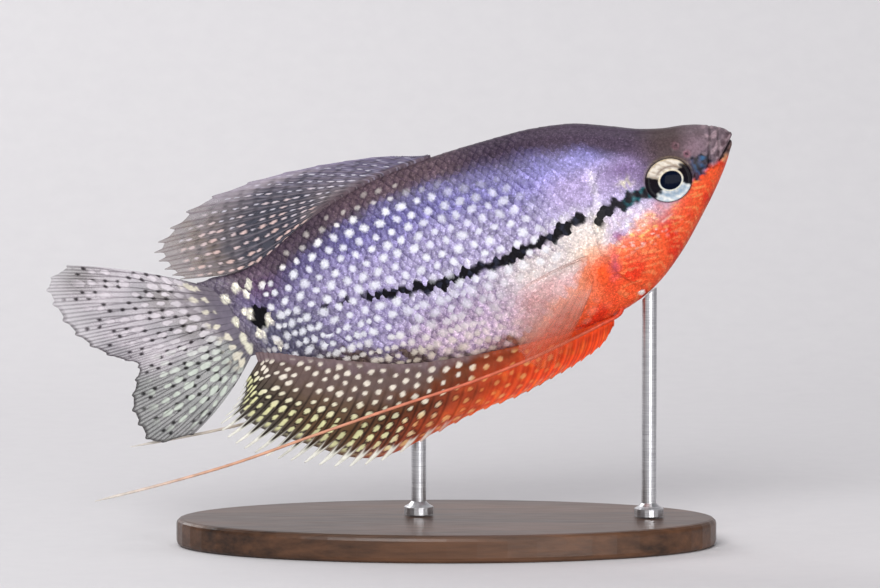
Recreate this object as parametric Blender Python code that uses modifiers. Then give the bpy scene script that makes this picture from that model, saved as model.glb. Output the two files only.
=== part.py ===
"""Life-size display model of a male pearl gourami on a plain oval stand.

The fish is drawn in its own frame: +X towards the snout, +Z towards the back, Y = 0 its middle plane,
and the origin in the middle of the tail fin's root. An empty then pitches it nose up over the stand.
"""

import math

import bmesh
import bpy
import numpy as np
from mathutils import Matrix, Vector

MM = 0.001
GAP = 0.3 * MM              # between two nodes that touch
PITCH = math.radians(18.0)  # nose up, as it hovers
POSE_X = -34 * MM           # the fish's own origin, over the stand's frame
POSE_Z = 39.5 * MM

# The body's outline in the middle plane, from tail to snout: (x, z) in mm.
BACK = ((-8, 6.4), (-4, 5.7), (1, 5.1), (6, 5.9), (12, 8.2), (18, 10.4), (26, 12.2), (36, 13.0), (46, 12.9),
        (56, 12.2), (61, 11.2), (66, 9.2), (71, 7.0), (74.5, 5.95), (78, 5.35), (80.4, 4.65), (82, 3.95),
        (83.4, 3.2), (84.3, 2.55), (84.8, 1.8))
BELLY = ((-8, -9.4), (-3, -9.4), (2, -9.9), (8, -12.0), (15, -15.0), (22, -17.7), (32, -19.7), (44, -20.9),
         (54, -21.2), (60, -20.35), (66, -18.15), (72, -13.75), (76.2, -9.75), (79, -6.95), (81, -4.75),
         (82.4, -3.05), (83.4, -1.65), (84.2, -0.25), (84.6, 0.7), (84.8, 1.2))
HALF_WIDTH = ((-8, 1.0), (-3, 1.35), (4, 2.2), (14, 3.5), (26, 4.9), (38, 5.9), (50, 6.4), (60, 6.6),
              (67, 6.3), (73, 5.5), (78, 4.5), (81.5, 3.5), (83.3, 2.5), (84.4, 1.5), (84.8, 0.8))
WIDEST_SHARE = 0.55         # the widest level, up from the belly as a share of the depth
RING_POINTS = 32
TRUNK_STATIONS, HEAD_STATIONS, SNOUT_STATIONS = 19, 14, 6
TAIL_X, HEAD_X, LIPS_X, SNOUT_X = -8.0, 57.0, 80.5, 84.8

# Where the body is parted, and the outlines of its plates: (x, z) in mm.
GILL_CENTRE, GILL_RADIUS = (73.3, -7.0), 14.5
GILL_TOP, GILL_LOW = 3.0, -16.5
TAIL_CUT = ((9.0, 14), (8.0, -3), (7.0, -18))
TAIL_END = ((-5.2, 9), (-5.0, 5.2), (-3.4, 1.0), (-2.4, -3.5), (-1.3, -7.0), (-0.5, -9.2), (0.0, -14))
MOUTH_FRONT, MOUTH_CORNER = (84.5, 0.8), (81.7, -1.75)
JAW_CUT = ((86.7, 2.8), MOUTH_FRONT, MOUTH_CORNER, (79.5, -3.0), (77.5, -5.1), (76.4, -7.2), (76.2, -10.5))
PREOPERCLE = ((64.6, 2.6), (66.6, 1.6), (67.1, -1.5), (66.9, -5.0), (67.4, -9.0), (68.6, -12.2), (68.2, -14.0),
              (66.0, -15.4), (63.2, -16.3))
COVER_RISE, COVER_THICK = 0.2 * MM, 1.2 * MM

EYE_CENTRE = (72.9, -1.95)
EYE_HALF = (4.1, 2.0, 3.7)  # half sizes of the whole lens-shaped eye, sunk into the head
EYE_DEPTH = 1.1             # its middle lies this far under the cheek
EYE_TURN = math.radians(10)
NOSTRILS = ((77.0, 1.1), (75.6, 2.9))
NOSTRIL_RADIUS = 0.38
LIP_RADIUS, LIP_OFFSET = 0.40, 0.50

# Fins: for each, rows of (root x, tip x, tip z) in mm along the root, read between by smooth().
DORSAL_ROWS = ((37.3, 35.0, 14.1), (35, 30, 15.5), (32, 24, 16.7), (29.5, 17, 17.7), (27, 8, 18.3),
               (25, -1, 17.6), (23, -6.5, 15.2), (21, -9.9, 12.9), (19.3, -9.9, 10.9), (17.8, -9.0, 9.2),
               (16.5, -7.4, 7.8))
ANAL_ROWS = ((57.6, 57.1, -22.3), (56, 54.2, -24.8), (53, 49.5, -26.4), (49, 44.5, -27.4), (44, 38.5, -28.5),
             (38, 31.5, -29.0), (32, 24, -30.2), (26, 14.5, -31.6), (21, 7.5, -30.4), (16, 1.5, -27.6),
             (12, -3.5, -25.0), (8, -7.2, -21.8), (4.5, -8.8, -18.2), (2, -5.6, -15.6), (0.3, -3.2, -13.0))
CAUDAL_TIPS = ((-24.5, 14.3), (-28.6, 12.6), (-28.8, 9.2), (-27.6, 4.8), (-25.4, 1.0), (-22.2, -2.2),
               (-18.8, -4.6), (-20.0, -7.2), (-21.7, -10.6), (-21.6, -14.2), (-20.2, -17.6), (-13.6, -18.3))
CAUDAL_ROOT_TOP, CAUDAL_ROOT_LOW = (-5.35, 5.3), (-0.75, -9.3)
PECTORAL_ROOT = ((57.0, -9.4), (56.3, -13.4))
PECTORAL_TIPS = ((43.8, -11.2), (42.0, -15.0), (41.2, -19.0), (41.8, -22.8), (44.6, -25.0), (48.4, -22.8),
                 (52.0, -18.4))
DORSAL_RAYS, ANAL_RAYS, CAUDAL_RAYS, PECTORAL_RAYS = 16, 34, 18, 9
RAY_THICK, MEMBRANE_THICK = 0.85 * MM, 0.5 * MM
RAY_FREE = {"dorsal_fin": 0.7, "anal_fin": 1.3, "caudal_fin": 0.4}  # how far tips stand past the membrane, mm

# The long thread-like ray of each pelvic fin: (x, distance from the middle plane, z) in mm.
RIGHT_THREAD = ((59.6, 0.9, -18.6), (58.6, 1.5, -20.6), (55, 2.2, -21.3), (50, 2.9, -22.0), (42, 3.2, -23.0),
                (32, 3.2, -23.6), (20, 3.0, -23.7), (6, 2.9, -24.0), (-8, 2.7, -24.4), (-20, 2.3, -24.1),
                (-32, 1.6, -23.4))
LEFT_THREAD = ((59.6, 0.9, -18.6), (58.6, 1.6, -20.6), (55, 2.7, -21.2), (48, 3.9, -21.5), (36, 5.0, -21.5),
               (24, 5.3, -21.2), (12, 4.9, -20.6), (0, 4.2, -19.8), (-10, 3.6, -19.0), (-24, 2.8, -17.2))
THREAD_POINTS = 30
THREAD_ROOT, THREAD_MIDDLE, THREAD_END = 0.62 * MM, 0.30 * MM, 0.25 * MM

BASE_LENGTH, BASE_WIDTH, BASE_HEIGHT = 88 * MM, 46 * MM, 4.5 * MM
BASE_BEVEL = 0.9 * MM
ROD_RADIUS, COLLAR_RADIUS, COLLAR_HEIGHT = 1.2 * MM, 2.4 * MM, 1.6 * MM
ROD_SPOTS = {"stand_rod_front": (33.0, 0.0), "stand_rod_rear": (-4.5, 2.35)}  # (x, y) on the base, mm
ROD_REACH = 46 * MM

COLOURS = {  # name: (colour, roughness, metallic)
    "back": ((0.12, 0.09, 0.12), 0.4, 0.0),
    "flank": ((0.34, 0.30, 0.52), 0.35, 0.0),
    "breast": ((0.78, 0.10, 0.03), 0.4, 0.0),
    "fin": ((0.42, 0.40, 0.42), 0.45, 0.0),
    "thread": ((0.75, 0.20, 0.10), 0.45, 0.0),
    "eye": ((0.55, 0.54, 0.50), 0.15, 0.0),
    "walnut": ((0.10, 0.055, 0.035), 0.45, 0.0),
    "steel": ((0.60, 0.60, 0.62), 0.3, 1.0),
}


def smooth(rows, at):
    """Values read at `at` along rows of (place, value, ...), by cubic pieces with averaged slopes."""
    rows = np.asarray(rows, float)
    places, values = rows[:, 0], rows[:, 1:]
    if places[0] > places[-1]:
        places, values = places[::-1], values[::-1]
    slopes = np.gradient(values, places, axis=0)
    at = min(max(at, places[0]), places[-1])
    k = min(int(np.searchsorted(places, at, side="right")) - 1, len(places) - 2)
    step = places[k + 1] - places[k]
    t = (at - places[k]) / step
    near = (1 + 2 * t) * (1 - t) ** 2 * values[k] + t * (1 - t) ** 2 * step * slopes[k]
    far = t * t * (3 - 2 * t) * values[k + 1] + t * t * (t - 1) * step * slopes[k + 1]
    return near + far


def along(points, share):
    """The point at `share` (0 to 1) of a row of evenly counted points, read smoothly."""
    numbered = [(k, *p) for k, p in enumerate(points)]
    return smooth(numbered, share * (len(points) - 1))


def new_object(name, mesh, collection):
    obj = bpy.data.objects.new(name, mesh)
    collection.objects.link(obj)
    return obj


def mesh_from(name, points, faces):
    mesh = bpy.data.meshes.new(name)
    mesh.from_pydata([Vector(p) for p in points], [], faces)
    mesh.validate()
    return mesh


# The body's surface

def body_levels(x):
    """The belly, widest and back levels and the half width at x, in mm."""
    back, belly = smooth(BACK, x)[0], smooth(BELLY, x)[0]
    return belly, belly + WIDEST_SHARE * (back - belly), back, smooth(HALF_WIDTH, x)[0]


def roundness(x):
    """Exponents of the section above and below its widest level: 1 is an ellipse, more is a keel."""
    head = min(max((x - 54) / 16, 0), 1)
    return 1.0 - 0.15 * head, 1.18 - 0.22 * head


def body_ring(x, grow):
    belly, middle, back, half = body_levels(x)
    upper, lower = roundness(x)
    ring = []
    for k in range(RING_POINTS):
        turn = 2 * math.pi * k / RING_POINTS
        c, s = math.cos(turn), math.sin(turn)
        reach = (back - middle) if s > 0 else (middle - belly)
        y = math.copysign(max(half + grow, 0.2) * abs(c) ** (upper if s > 0 else lower), c)
        ring.append((x * MM, y * MM, (middle + s * max(reach + grow, 0.2)) * MM))
    return ring


def flank_y(x, z):
    """The body's half width at (x, z), in mm."""
    belly, middle, back, half = body_levels(x)
    upper, lower = roundness(x)
    share = (z - middle) / (back - middle) if z > middle else (middle - z) / (middle - belly)
    return half * max(1 - share * share, 0) ** (0.5 * (upper if z > middle else lower))


def body_loft(name, collection, grow=0.0):
    """The whole body as one closed loft. grow, in metres, swells or shrinks it."""
    grow /= MM
    trunk = np.linspace(TAIL_X, HEAD_X, TRUNK_STATIONS, endpoint=False)
    head = np.linspace(HEAD_X, LIPS_X, HEAD_STATIONS, endpoint=False)
    turns = np.linspace(0, math.pi / 2, SNOUT_STATIONS)
    snout = LIPS_X + (SNOUT_X - LIPS_X) * np.sin(turns)
    stations = [*trunk, *head, *snout]
    rings = [body_ring(x, grow) for x in stations]
    rings[0] = [(x - grow * MM, y, z) for x, y, z in rings[0]]
    rings[-1] = [(x + grow * MM, y, z) for x, y, z in rings[-1]]
    points = [p for ring in rings for p in ring]
    n = RING_POINTS
    faces = [tuple(range(n)), tuple(reversed(range(len(points) - n, len(points))))]
    for i in range(len(stations) - 1):
        for k in range(n):
            a, b = i * n + k, i * n + (k + 1) % n
            faces.append((a, a + n, b + n, b))
    obj = new_object(name, mesh_from(name, points, faces), collection)
    face_out(obj)
    return obj


def face_out(obj):
    shape = bmesh.new()
    shape.from_mesh(obj.data)
    bmesh.ops.recalc_face_normals(shape, faces=shape.faces)
    shape.to_mesh(obj.data)
    shape.free()


# Joining and cutting

def made_mesh(obj):
    """The object's evaluated shape as a plain, welded mesh object in its place."""
    graph = bpy.context.evaluated_depsgraph_get()
    mesh = bpy.data.meshes.new_from_object(obj.evaluated_get(graph))
    made = bpy.data.objects.new(obj.name, mesh)
    made.matrix_world = obj.matrix_world.copy()
    for collection in obj.users_collection:
        collection.objects.link(made)
    name = obj.name
    bpy.data.objects.remove(obj)
    made.name = name
    weld(mesh)
    return made


def weld(mesh):
    """Joins corners less than a thousandth of a millimetre apart, and faces every surface outwards."""
    shape = bmesh.new()
    shape.from_mesh(mesh)
    bmesh.ops.remove_doubles(shape, verts=shape.verts, dist=1e-6)
    bmesh.ops.dissolve_degenerate(shape, edges=shape.edges, dist=1e-6)
    bmesh.ops.recalc_face_normals(shape, faces=shape.faces)
    shape.to_mesh(mesh)
    shape.free()


def combine(obj, others, operation, solver="EXACT"):
    """One Boolean of obj with a collection of closed meshes, applied, with those meshes removed."""
    group = bpy.data.collections.new("tools")
    bpy.context.scene.collection.children.link(group)
    for other in others:
        for collection in other.users_collection:
            collection.objects.unlink(other)
        group.objects.link(other)
    modifier = obj.modifiers.new("combine", "BOOLEAN")
    modifier.operation = operation
    modifier.solver = solver
    if len(others) == 1:
        modifier.object = others[0]
    else:
        modifier.operand_type = "COLLECTION"
        modifier.collection = group
    bpy.context.view_layer.update()
    graph = bpy.context.evaluated_depsgraph_get()
    mesh = bpy.data.meshes.new_from_object(obj.evaluated_get(graph))
    obj.modifiers.remove(modifier)
    weld(mesh)
    obj.data = mesh
    for other in others:
        bpy.data.objects.remove(other)
    bpy.data.collections.remove(group)
    return obj


def loose_pieces(obj):
    """Sets of vertex indices, one for each separate surface, largest volume first."""
    shape = bmesh.new()
    shape.from_mesh(obj.data)
    shape.verts.ensure_lookup_table()
    left, pieces = set(range(len(shape.verts))), []
    while left:
        stack, piece = [left.pop()], set()
        while stack:
            k = stack.pop()
            piece.add(k)
            linked = {e.other_vert(shape.verts[k]).index for e in shape.verts[k].link_edges}
            stack += linked & left
            left -= linked
        pieces.append(piece)
    volumes = []
    for piece in pieces:
        faces = {f for k in piece for f in shape.verts[k].link_faces}
        volumes.append(sum(signed_volume([v.co for v in f.verts]) for f in faces))
    shape.free()
    order = sorted(range(len(pieces)), key=lambda k: -volumes[k])
    return [pieces[k] for k in order]


def signed_volume(corners):
    first = corners[0]
    return sum(first.dot(a.cross(b)) for a, b in zip(corners[1:], corners[2:])) / 6


def keep_piece(obj, piece):
    """Removes every vertex of obj's mesh that isn't in piece."""
    shape = bmesh.new()
    shape.from_mesh(obj.data)
    shape.verts.ensure_lookup_table()
    doomed = [v for v in shape.verts if v.index not in piece]
    bmesh.ops.delete(shape, geom=doomed, context="VERTS")
    shape.to_mesh(obj.data)
    shape.free()


def keep_largest(obj):
    keep_piece(obj, loose_pieces(obj)[0])
    return obj


def wall(name, line, collection, thickness=GAP, half_depth=16 * MM):
    """A thin wall along a line of (x, z) in mm, reaching half_depth to either side of the middle plane."""
    curve = bpy.data.curves.new(name, "CURVE")
    curve.dimensions = "2D"
    curve.fill_mode = "NONE"
    curve.extrude = half_depth
    spline = curve.splines.new("POLY")
    spline.points.add(len(line) - 1)
    for point, (x, z) in zip(spline.points, line):
        point.co = (x * MM, z * MM, 0, 1)
    obj = new_object(name, curve, collection)
    obj.matrix_world = Matrix.Rotation(math.pi / 2, 4, "X")
    bpy.context.view_layer.update()
    obj = made_mesh(obj)
    solidify = obj.modifiers.new("thickness", "SOLIDIFY")
    solidify.thickness = thickness
    solidify.offset = 0
    solidify.use_even_offset = True
    bpy.context.view_layer.update()
    return made_mesh(obj)


def prism(name, outline, collection, y_from, y_to):
    """A flat outline of (x, z) in mm as a plate between two distances from the middle plane, in metres."""
    curve = bpy.data.curves.new(name, "CURVE")
    curve.dimensions = "2D"
    curve.fill_mode = "BOTH"
    curve.extrude = abs(y_to - y_from) / 2
    spline = curve.splines.new("POLY")
    spline.points.add(len(outline) - 1)
    spline.use_cyclic_u = True
    for point, (x, z) in zip(spline.points, outline):
        point.co = (x * MM, z * MM, 0, 1)
    obj = new_object(name, curve, collection)
    middle = Matrix.Translation((0, (y_from + y_to) / 2, 0))
    obj.matrix_world = middle @ Matrix.Rotation(math.pi / 2, 4, "X")
    bpy.context.view_layer.update()
    return made_mesh(obj)


def gill_line(low, high, count):
    """Points down the rear edge of the gill cover, an arc, between two levels in mm."""
    points = []
    for z in np.linspace(high, low, count):
        across = math.sqrt(GILL_RADIUS ** 2 - (z - GILL_CENTRE[1]) ** 2)
        points.append((GILL_CENTRE[0] - across, z))
    return points


def widened(outline, by):
    """A closed outline pushed out by `by` mm, along the averaged normals of its sides."""
    pts = [Vector(p) for p in outline]
    area = sum(a.x * b.y - b.x * a.y for a, b in zip(pts, pts[1:] + pts[:1]))
    side = math.copysign(1, area)
    grown = []
    for before, here, after in zip(pts[-1:] + pts[:-1], pts, pts[1:] + pts[:1]):
        first, second = (here - before).normalized(), (after - here).normalized()
        normal = Vector((first.y + second.y, -first.x - second.x)).normalized() * side
        spread = max(normal.dot(Vector((first.y, -first.x)) * side), 0.5)
        grown.append(tuple(here + normal * by / spread))
    return grown


# The body's nodes

def mouth_curve(name, offset, collection):
    """A round lip that runs from one corner of the mouth to the other, round the snout."""
    run, rise = MOUTH_FRONT[0] - MOUTH_CORNER[0], MOUTH_FRONT[1] - MOUTH_CORNER[1]
    slope = Vector((run, rise)).normalized()
    curve = bpy.data.curves.new(name, "CURVE")
    curve.dimensions = "3D"
    curve.bevel_depth = LIP_RADIUS * MM
    curve.bevel_resolution = 1
    curve.use_fill_caps = True
    spline = curve.splines.new("POLY")
    turns = np.linspace(-0.62 * math.pi, 0.62 * math.pi, 15)
    spline.points.add(len(turns) - 1)
    corner_y = flank_y(*MOUTH_CORNER) - 0.35
    for point, turn in zip(spline.points, turns):
        share = math.cos(turn)
        x = MOUTH_CORNER[0] + run * share - slope.y * offset
        z = MOUTH_CORNER[1] + rise * share + slope.x * offset
        point.co = (x * MM, corner_y * math.sin(turn) * MM, z * MM, 1)
        point.radius = 0.75 + 0.25 * share
    obj = new_object(name, curve, collection)
    bpy.context.view_layer.update()
    return made_mesh(obj)


def eye_lens(name, side, collection, grow=0.0):
    """One eye: a flattened ball, its middle under the cheek and turned with the cheek. grow is in mm."""
    bpy.ops.mesh.primitive_uv_sphere_add(segments=20, ring_count=10, radius=1)
    eye = bpy.context.object
    eye.name = name
    for collection_in in eye.users_collection:
        collection_in.objects.unlink(eye)
    collection.objects.link(eye)
    x, z = EYE_CENTRE
    y = side * (flank_y(x, z) - EYE_DEPTH)
    size = [(half + grow) * MM for half in EYE_HALF]
    pole_out = Matrix.Rotation(math.pi / 2, 4, "X")
    turn = Matrix.Rotation(-side * EYE_TURN, 4, "Z")
    place = Matrix.Translation((x * MM, y * MM, z * MM)) @ turn @ Matrix.Diagonal((*size, 1)) @ pole_out
    eye.data.transform(place)
    eye.matrix_world = Matrix.Identity(4)
    face_out(eye)
    return eye


def nostril_pit(name, spot, side, collection):
    x, z = spot
    bpy.ops.mesh.primitive_uv_sphere_add(segments=8, ring_count=6, radius=NOSTRIL_RADIUS * MM)
    pit = bpy.context.object
    pit.name = name
    for collection_in in pit.users_collection:
        collection_in.objects.unlink(pit)
    collection.objects.link(pit)
    pit.data.transform(Matrix.Translation((x * MM, side * flank_y(x, z) * MM, z * MM)))
    return pit


def gill_outline(by):
    rear = gill_line(GILL_LOW + 0.6, GILL_TOP - 0.8, 11)
    front = [tuple(along(PREOPERCLE, share)) for share in np.linspace(1, 0, 18)]
    return widened(rear + front, by)


def make_gill_covers(fish, tools):
    """Two thin plates that follow the cheek and stand a little proud of it."""
    covers = []
    for side, name in ((1, "gill_cover_left"), (-1, "gill_cover_right")):
        cover = body_loft(name, fish, COVER_RISE)
        plate = prism("plate", gill_outline(-0.5 * GAP / MM), tools, side * 2.5 * MM, side * 12 * MM)
        combine(cover, [plate], "INTERSECT")
        combine(cover, [body_loft("core", tools, COVER_RISE - COVER_THICK)], "DIFFERENCE")
        covers.append(keep_largest(cover))
    return covers


def gill_recess(tools):
    """What is cut from the head to make room for both covers."""
    recess = prism("recess", gill_outline(0.5 * GAP / MM), tools, -12 * MM, 12 * MM)
    return combine(recess, [body_loft("core", tools, COVER_RISE - COVER_THICK - GAP)], "DIFFERENCE")


def make_body(fish, tools):
    """Head, lower jaw, trunk and tail stem, parted from one loft by thin walls."""
    whole = body_loft("whole", tools)
    nape = [(61.6, 14.5), (62.4, 8.0)]
    breast = [(64.0, -18.2), (64.6, -21.5)]
    neck_cut = nape + gill_line(GILL_LOW, GILL_TOP, 14) + breast
    walls = [wall("neck", neck_cut, tools), wall("stem", TAIL_CUT, tools), wall("jaw", JAW_CUT, tools)]
    behind = [(-14, 12), *TAIL_END, (-14, -14)]
    combine(whole, walls, "DIFFERENCE")
    combine(whole, [prism("behind", behind, tools, -6 * MM, 6 * MM)], "DIFFERENCE")
    pieces = loose_pieces(whole)[:4]
    centres = [sum((whole.data.vertices[k].co for k in p), Vector()) / len(p) for p in pieces]
    by_x = sorted(range(4), key=lambda k: centres[k].x)
    nodes = {}
    for name, k in zip(("tail_stem", "trunk", "head", "lower_jaw"), by_x):
        node = new_object(name, whole.data.copy(), fish)
        keep_piece(node, pieces[k])
        nodes[name] = node
    bpy.data.objects.remove(whole)
    return nodes


def finish_head(nodes, fish, tools):
    """Lips, sockets, nostrils and the room for the gill covers."""
    head, jaw = nodes["head"], nodes["lower_jaw"]
    combine(head, [mouth_curve("upper_lip", LIP_OFFSET, tools)], "UNION")
    combine(jaw, [mouth_curve("lower_lip", -LIP_OFFSET, tools)], "UNION")
    cuts = [gill_recess(tools)]
    for side in (1, -1):
        cuts.append(eye_lens("socket", side, tools, GAP / MM))
        cuts += [nostril_pit("nostril", spot, side, tools) for spot in NOSTRILS]
    for cut in cuts:
        combine(head, [cut], "DIFFERENCE")
    keep_largest(head)
    keep_largest(jaw)
    nodes["eye_left"] = eye_lens("eye_left", 1, fish)
    nodes["eye_right"] = eye_lens("eye_right", -1, fish)


# Fins

def fin_sheet(name, collection, ray_count, rows, point_of, free=0.0, root_thick=0.0):
    """A fin as one ridged plate. point_of(ray share, length share) gives the middle surface in mm.

    Rays are every second column, thicker than the membrane between them and longer by `free` mm.
    root_thick thickens the plate close to its root. The grid is cut into triangles before it gets its
    thickness, so that both faces are split alike.
    """
    columns = 2 * ray_count - 1
    shape = bmesh.new()
    grid = []
    weights = []
    for i in range(rows + 1):
        for j in range(columns):
            across, down = j / (columns - 1), i / rows
            ray = j % 2 == 0
            point = Vector(point_of(across, down))
            if not ray and i == rows and free:
                inner = Vector(point_of(across, down - 1 / rows))
                point = point + (inner - point).normalized() * free
            grid.append(shape.verts.new(point * MM))
            taper = (1 - 0.25 * down) * RAY_THICK if ray else MEMBRANE_THICK
            weights.append(taper + root_thick * math.exp(-8 * down))
    for i in range(rows):
        for j in range(columns - 1):
            a, b = i * columns + j, i * columns + j + 1
            c, d = a + columns, b + columns
            if j % 2 == 0:
                shape.faces.new((grid[a], grid[c], grid[d]))
                shape.faces.new((grid[a], grid[d], grid[b]))
            else:
                shape.faces.new((grid[a], grid[c], grid[b]))
                shape.faces.new((grid[b], grid[c], grid[d]))
    mesh = bpy.data.meshes.new(name)
    shape.to_mesh(mesh)
    shape.free()
    fin = new_object(name, mesh, collection)
    thickest = max(weights)
    group = fin.vertex_groups.new(name="thickness")
    for k, weight in enumerate(weights):
        group.add([k], weight / thickest, "REPLACE")
    solidify = fin.modifiers.new("thickness", "SOLIDIFY")
    solidify.thickness = thickest
    solidify.offset = 0
    solidify.vertex_group = "thickness"
    bpy.context.view_layer.update()
    return made_mesh(fin)


def bowed(root, tip, bow, share):
    """The point at `share` along a ray from root to tip that bends to its left by bow mm (an arc)."""
    root, tip = Vector(root), Vector(tip)
    chord = tip - root
    left = Vector((-chord.y, chord.x)).normalized()
    return root + chord * share + left * bow * 4 * share * (1 - share)


def make_dorsal(fish):
    def point_of(across, down):
        root_x, tip_x, tip_z = along(DORSAL_ROWS, across)
        clear = GAP / MM + 0.05
        root = (root_x, smooth(BACK, root_x)[0] + clear)
        p = bowed(root, (tip_x, tip_z), 3.3 * across ** 3 - 1.3 * across, down)
        lean = -2.3 * (across * down) ** 2 + 0.5 * math.sin(5 * across) * down * (1 - across)
        low = smooth(BACK, p.x)[0] + clear
        follow = 0.85 * max(0, (across - 0.8) / 0.2) ** 2
        return p.x, lean, low + max(p.y - low, 0) * (1 - follow * min(1, 1.4 - down))
    return fin_sheet("dorsal_fin", fish, DORSAL_RAYS, 7, point_of, RAY_FREE["dorsal_fin"])


def make_anal(fish):
    def point_of(across, down):
        root_x, tip_x, tip_z = along(ANAL_ROWS, across)
        root = (root_x, smooth(BELLY, root_x)[0] - GAP / MM - 0.05)
        p = bowed(root, (tip_x, tip_z), 1.4 * math.sin(math.pi * across), down)
        ripple = -0.7 * math.sin(9 * across - 0.4) ** 2 * down ** 2
        return p.x, ripple, p.y
    return fin_sheet("anal_fin", fish, ANAL_RAYS, 6, point_of, RAY_FREE["anal_fin"])


def make_caudal(fish):
    end_line = TAIL_END[1:-1]

    def point_of(across, down):
        root = along(end_line, across)
        root = (root[0] - GAP / MM - 0.1, root[1])
        tip = along(CAUDAL_TIPS, across)
        p = bowed(root, tip, 1.4 * (across - 0.5), down)
        swing = 2.6 * down ** 2 * (1 - 0.5 * across)
        return p.x, swing, p.y
    return fin_sheet("caudal_fin", fish, CAUDAL_RAYS, 7, point_of, RAY_FREE["caudal_fin"], 1.1 * MM)


def make_pectoral(name, side, fish, tools):
    """A small fan on a fleshy pad, held a little out from the flank and cut clear of it."""
    top, low = Vector(PECTORAL_ROOT[0]), Vector(PECTORAL_ROOT[1])
    middle = (top + low) / 2
    root_y = flank_y(*middle) + 0.2

    def point_of(across, down):
        root = top.lerp(low, across)
        tip = along(PECTORAL_TIPS, across)
        p = bowed(root, tip, 0.9 * (across - 0.4), down)
        away = (p - root).length
        return p.x, side * (root_y + 0.16 * away + 0.25 * math.sin(7 * across) * down), p.y
    fin = fin_sheet(name, fish, PECTORAL_RAYS, 5, point_of)
    bpy.ops.mesh.primitive_uv_sphere_add(segments=12, ring_count=8, radius=1)
    pad = bpy.context.object
    for collection_in in pad.users_collection:
        collection_in.objects.unlink(pad)
    tools.objects.link(pad)
    size = Matrix.Diagonal((1.5 * MM, 1.1 * MM, 2.6 * MM, 1))
    pad.data.transform(Matrix.Translation((middle.x * MM, side * root_y * MM, middle.y * MM)) @ size)
    combine(fin, [pad], "UNION")
    combine(fin, [body_loft("clear", tools, GAP)], "DIFFERENCE")
    return keep_largest(fin)


def make_pelvic(name, route, side, fish, tools):
    """The pelvic fin is one long, jointed-looking thread that tapers from a stout root."""
    curve = bpy.data.curves.new(name, "CURVE")
    curve.dimensions = "3D"
    curve.bevel_depth = THREAD_ROOT
    curve.bevel_resolution = 2
    curve.use_fill_caps = True
    spline = curve.splines.new("POLY")
    spline.points.add(THREAD_POINTS - 1)
    for k, point in enumerate(spline.points):
        share = (k / (THREAD_POINTS - 1)) ** 1.25
        x, y, z = along(route, share)
        point.co = (x * MM, side * y * MM, z * MM, 1)
        stout = max(1 - share / 0.16, 0) ** 1.5
        radius = THREAD_MIDDLE + (THREAD_ROOT - THREAD_MIDDLE) * stout
        radius += (THREAD_END - THREAD_MIDDLE) * share
        point.radius = radius / THREAD_ROOT
    thread = made_mesh(new_object(name, curve, fish))
    combine(thread, [body_loft("clear", tools, GAP)], "DIFFERENCE")
    return keep_largest(thread)


# The stand

def make_base(stand):
    bpy.ops.mesh.primitive_cylinder_add(vertices=56, radius=0.5, depth=1)
    base = bpy.context.object
    base.name = "stand_base"
    for collection_in in base.users_collection:
        collection_in.objects.unlink(base)
    stand.objects.link(base)
    size = Matrix.Diagonal((BASE_LENGTH, BASE_WIDTH, BASE_HEIGHT, 1))
    base.data.transform(Matrix.Translation((0, 0, BASE_HEIGHT / 2)) @ size)
    bevel = base.modifiers.new("rounded_edges", "BEVEL")
    bevel.width = BASE_BEVEL
    bevel.segments = 3
    bevel.limit_method = "ANGLE"
    bevel.angle_limit = math.radians(50)
    return base


def make_rod(name, spot, stand, tools, pose):
    """A turned rod with a collar at its foot. Its top is cut to the shape of the belly above it."""
    foot = BASE_HEIGHT + GAP
    profile = ((ROD_RADIUS, foot + ROD_REACH), (ROD_RADIUS, foot + COLLAR_HEIGHT + 0.5 * MM),
               (ROD_RADIUS + 0.5 * MM, foot + COLLAR_HEIGHT), (COLLAR_RADIUS, foot + COLLAR_HEIGHT - 0.4 * MM),
               (COLLAR_RADIUS, foot))
    points = [(0, 0, foot + ROD_REACH), *[(r, 0, z) for r, z in profile], (0, 0, foot)]
    mesh = bpy.data.meshes.new(name)
    mesh.from_pydata(points, [(k, k + 1) for k in range(len(points) - 1)], [])
    rod = new_object(name, mesh, stand)
    rod.location = (spot[0] * MM, spot[1] * MM, 0)
    screw = rod.modifiers.new("turned", "SCREW")
    screw.steps = screw.render_steps = 20
    screw.use_merge_vertices = True
    screw.merge_threshold = 1e-5
    bpy.context.view_layer.update()
    rod = made_mesh(rod)
    clear = body_loft("clear", tools, GAP)
    clear.matrix_world = pose.matrix_world.copy()
    combine(rod, [clear], "DIFFERENCE")
    rod.data.transform(rod.matrix_world)
    rod.matrix_world = Matrix.Identity(4)
    low_first = sorted(loose_pieces(rod), key=lambda p: min(rod.data.vertices[k].co.z for k in p))
    keep_piece(rod, low_first[0])
    return rod


def paint(obj, name):
    material = bpy.data.materials.get(name)
    if material is None:
        colour, roughness, metallic = COLOURS[name]
        material = bpy.data.materials.new(name)
        material.use_nodes = True
        shader = material.node_tree.nodes["Principled BSDF"]
        shader.inputs["Base Color"].default_value = (*colour, 1)
        shader.inputs["Roughness"].default_value = roughness
        shader.inputs["Metallic"].default_value = metallic
    obj.data.materials.clear()
    obj.data.materials.append(material)


def shade(obj):
    obj.data.shade_smooth()
    obj.data.set_sharp_from_angle(angle=math.radians(35))


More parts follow.
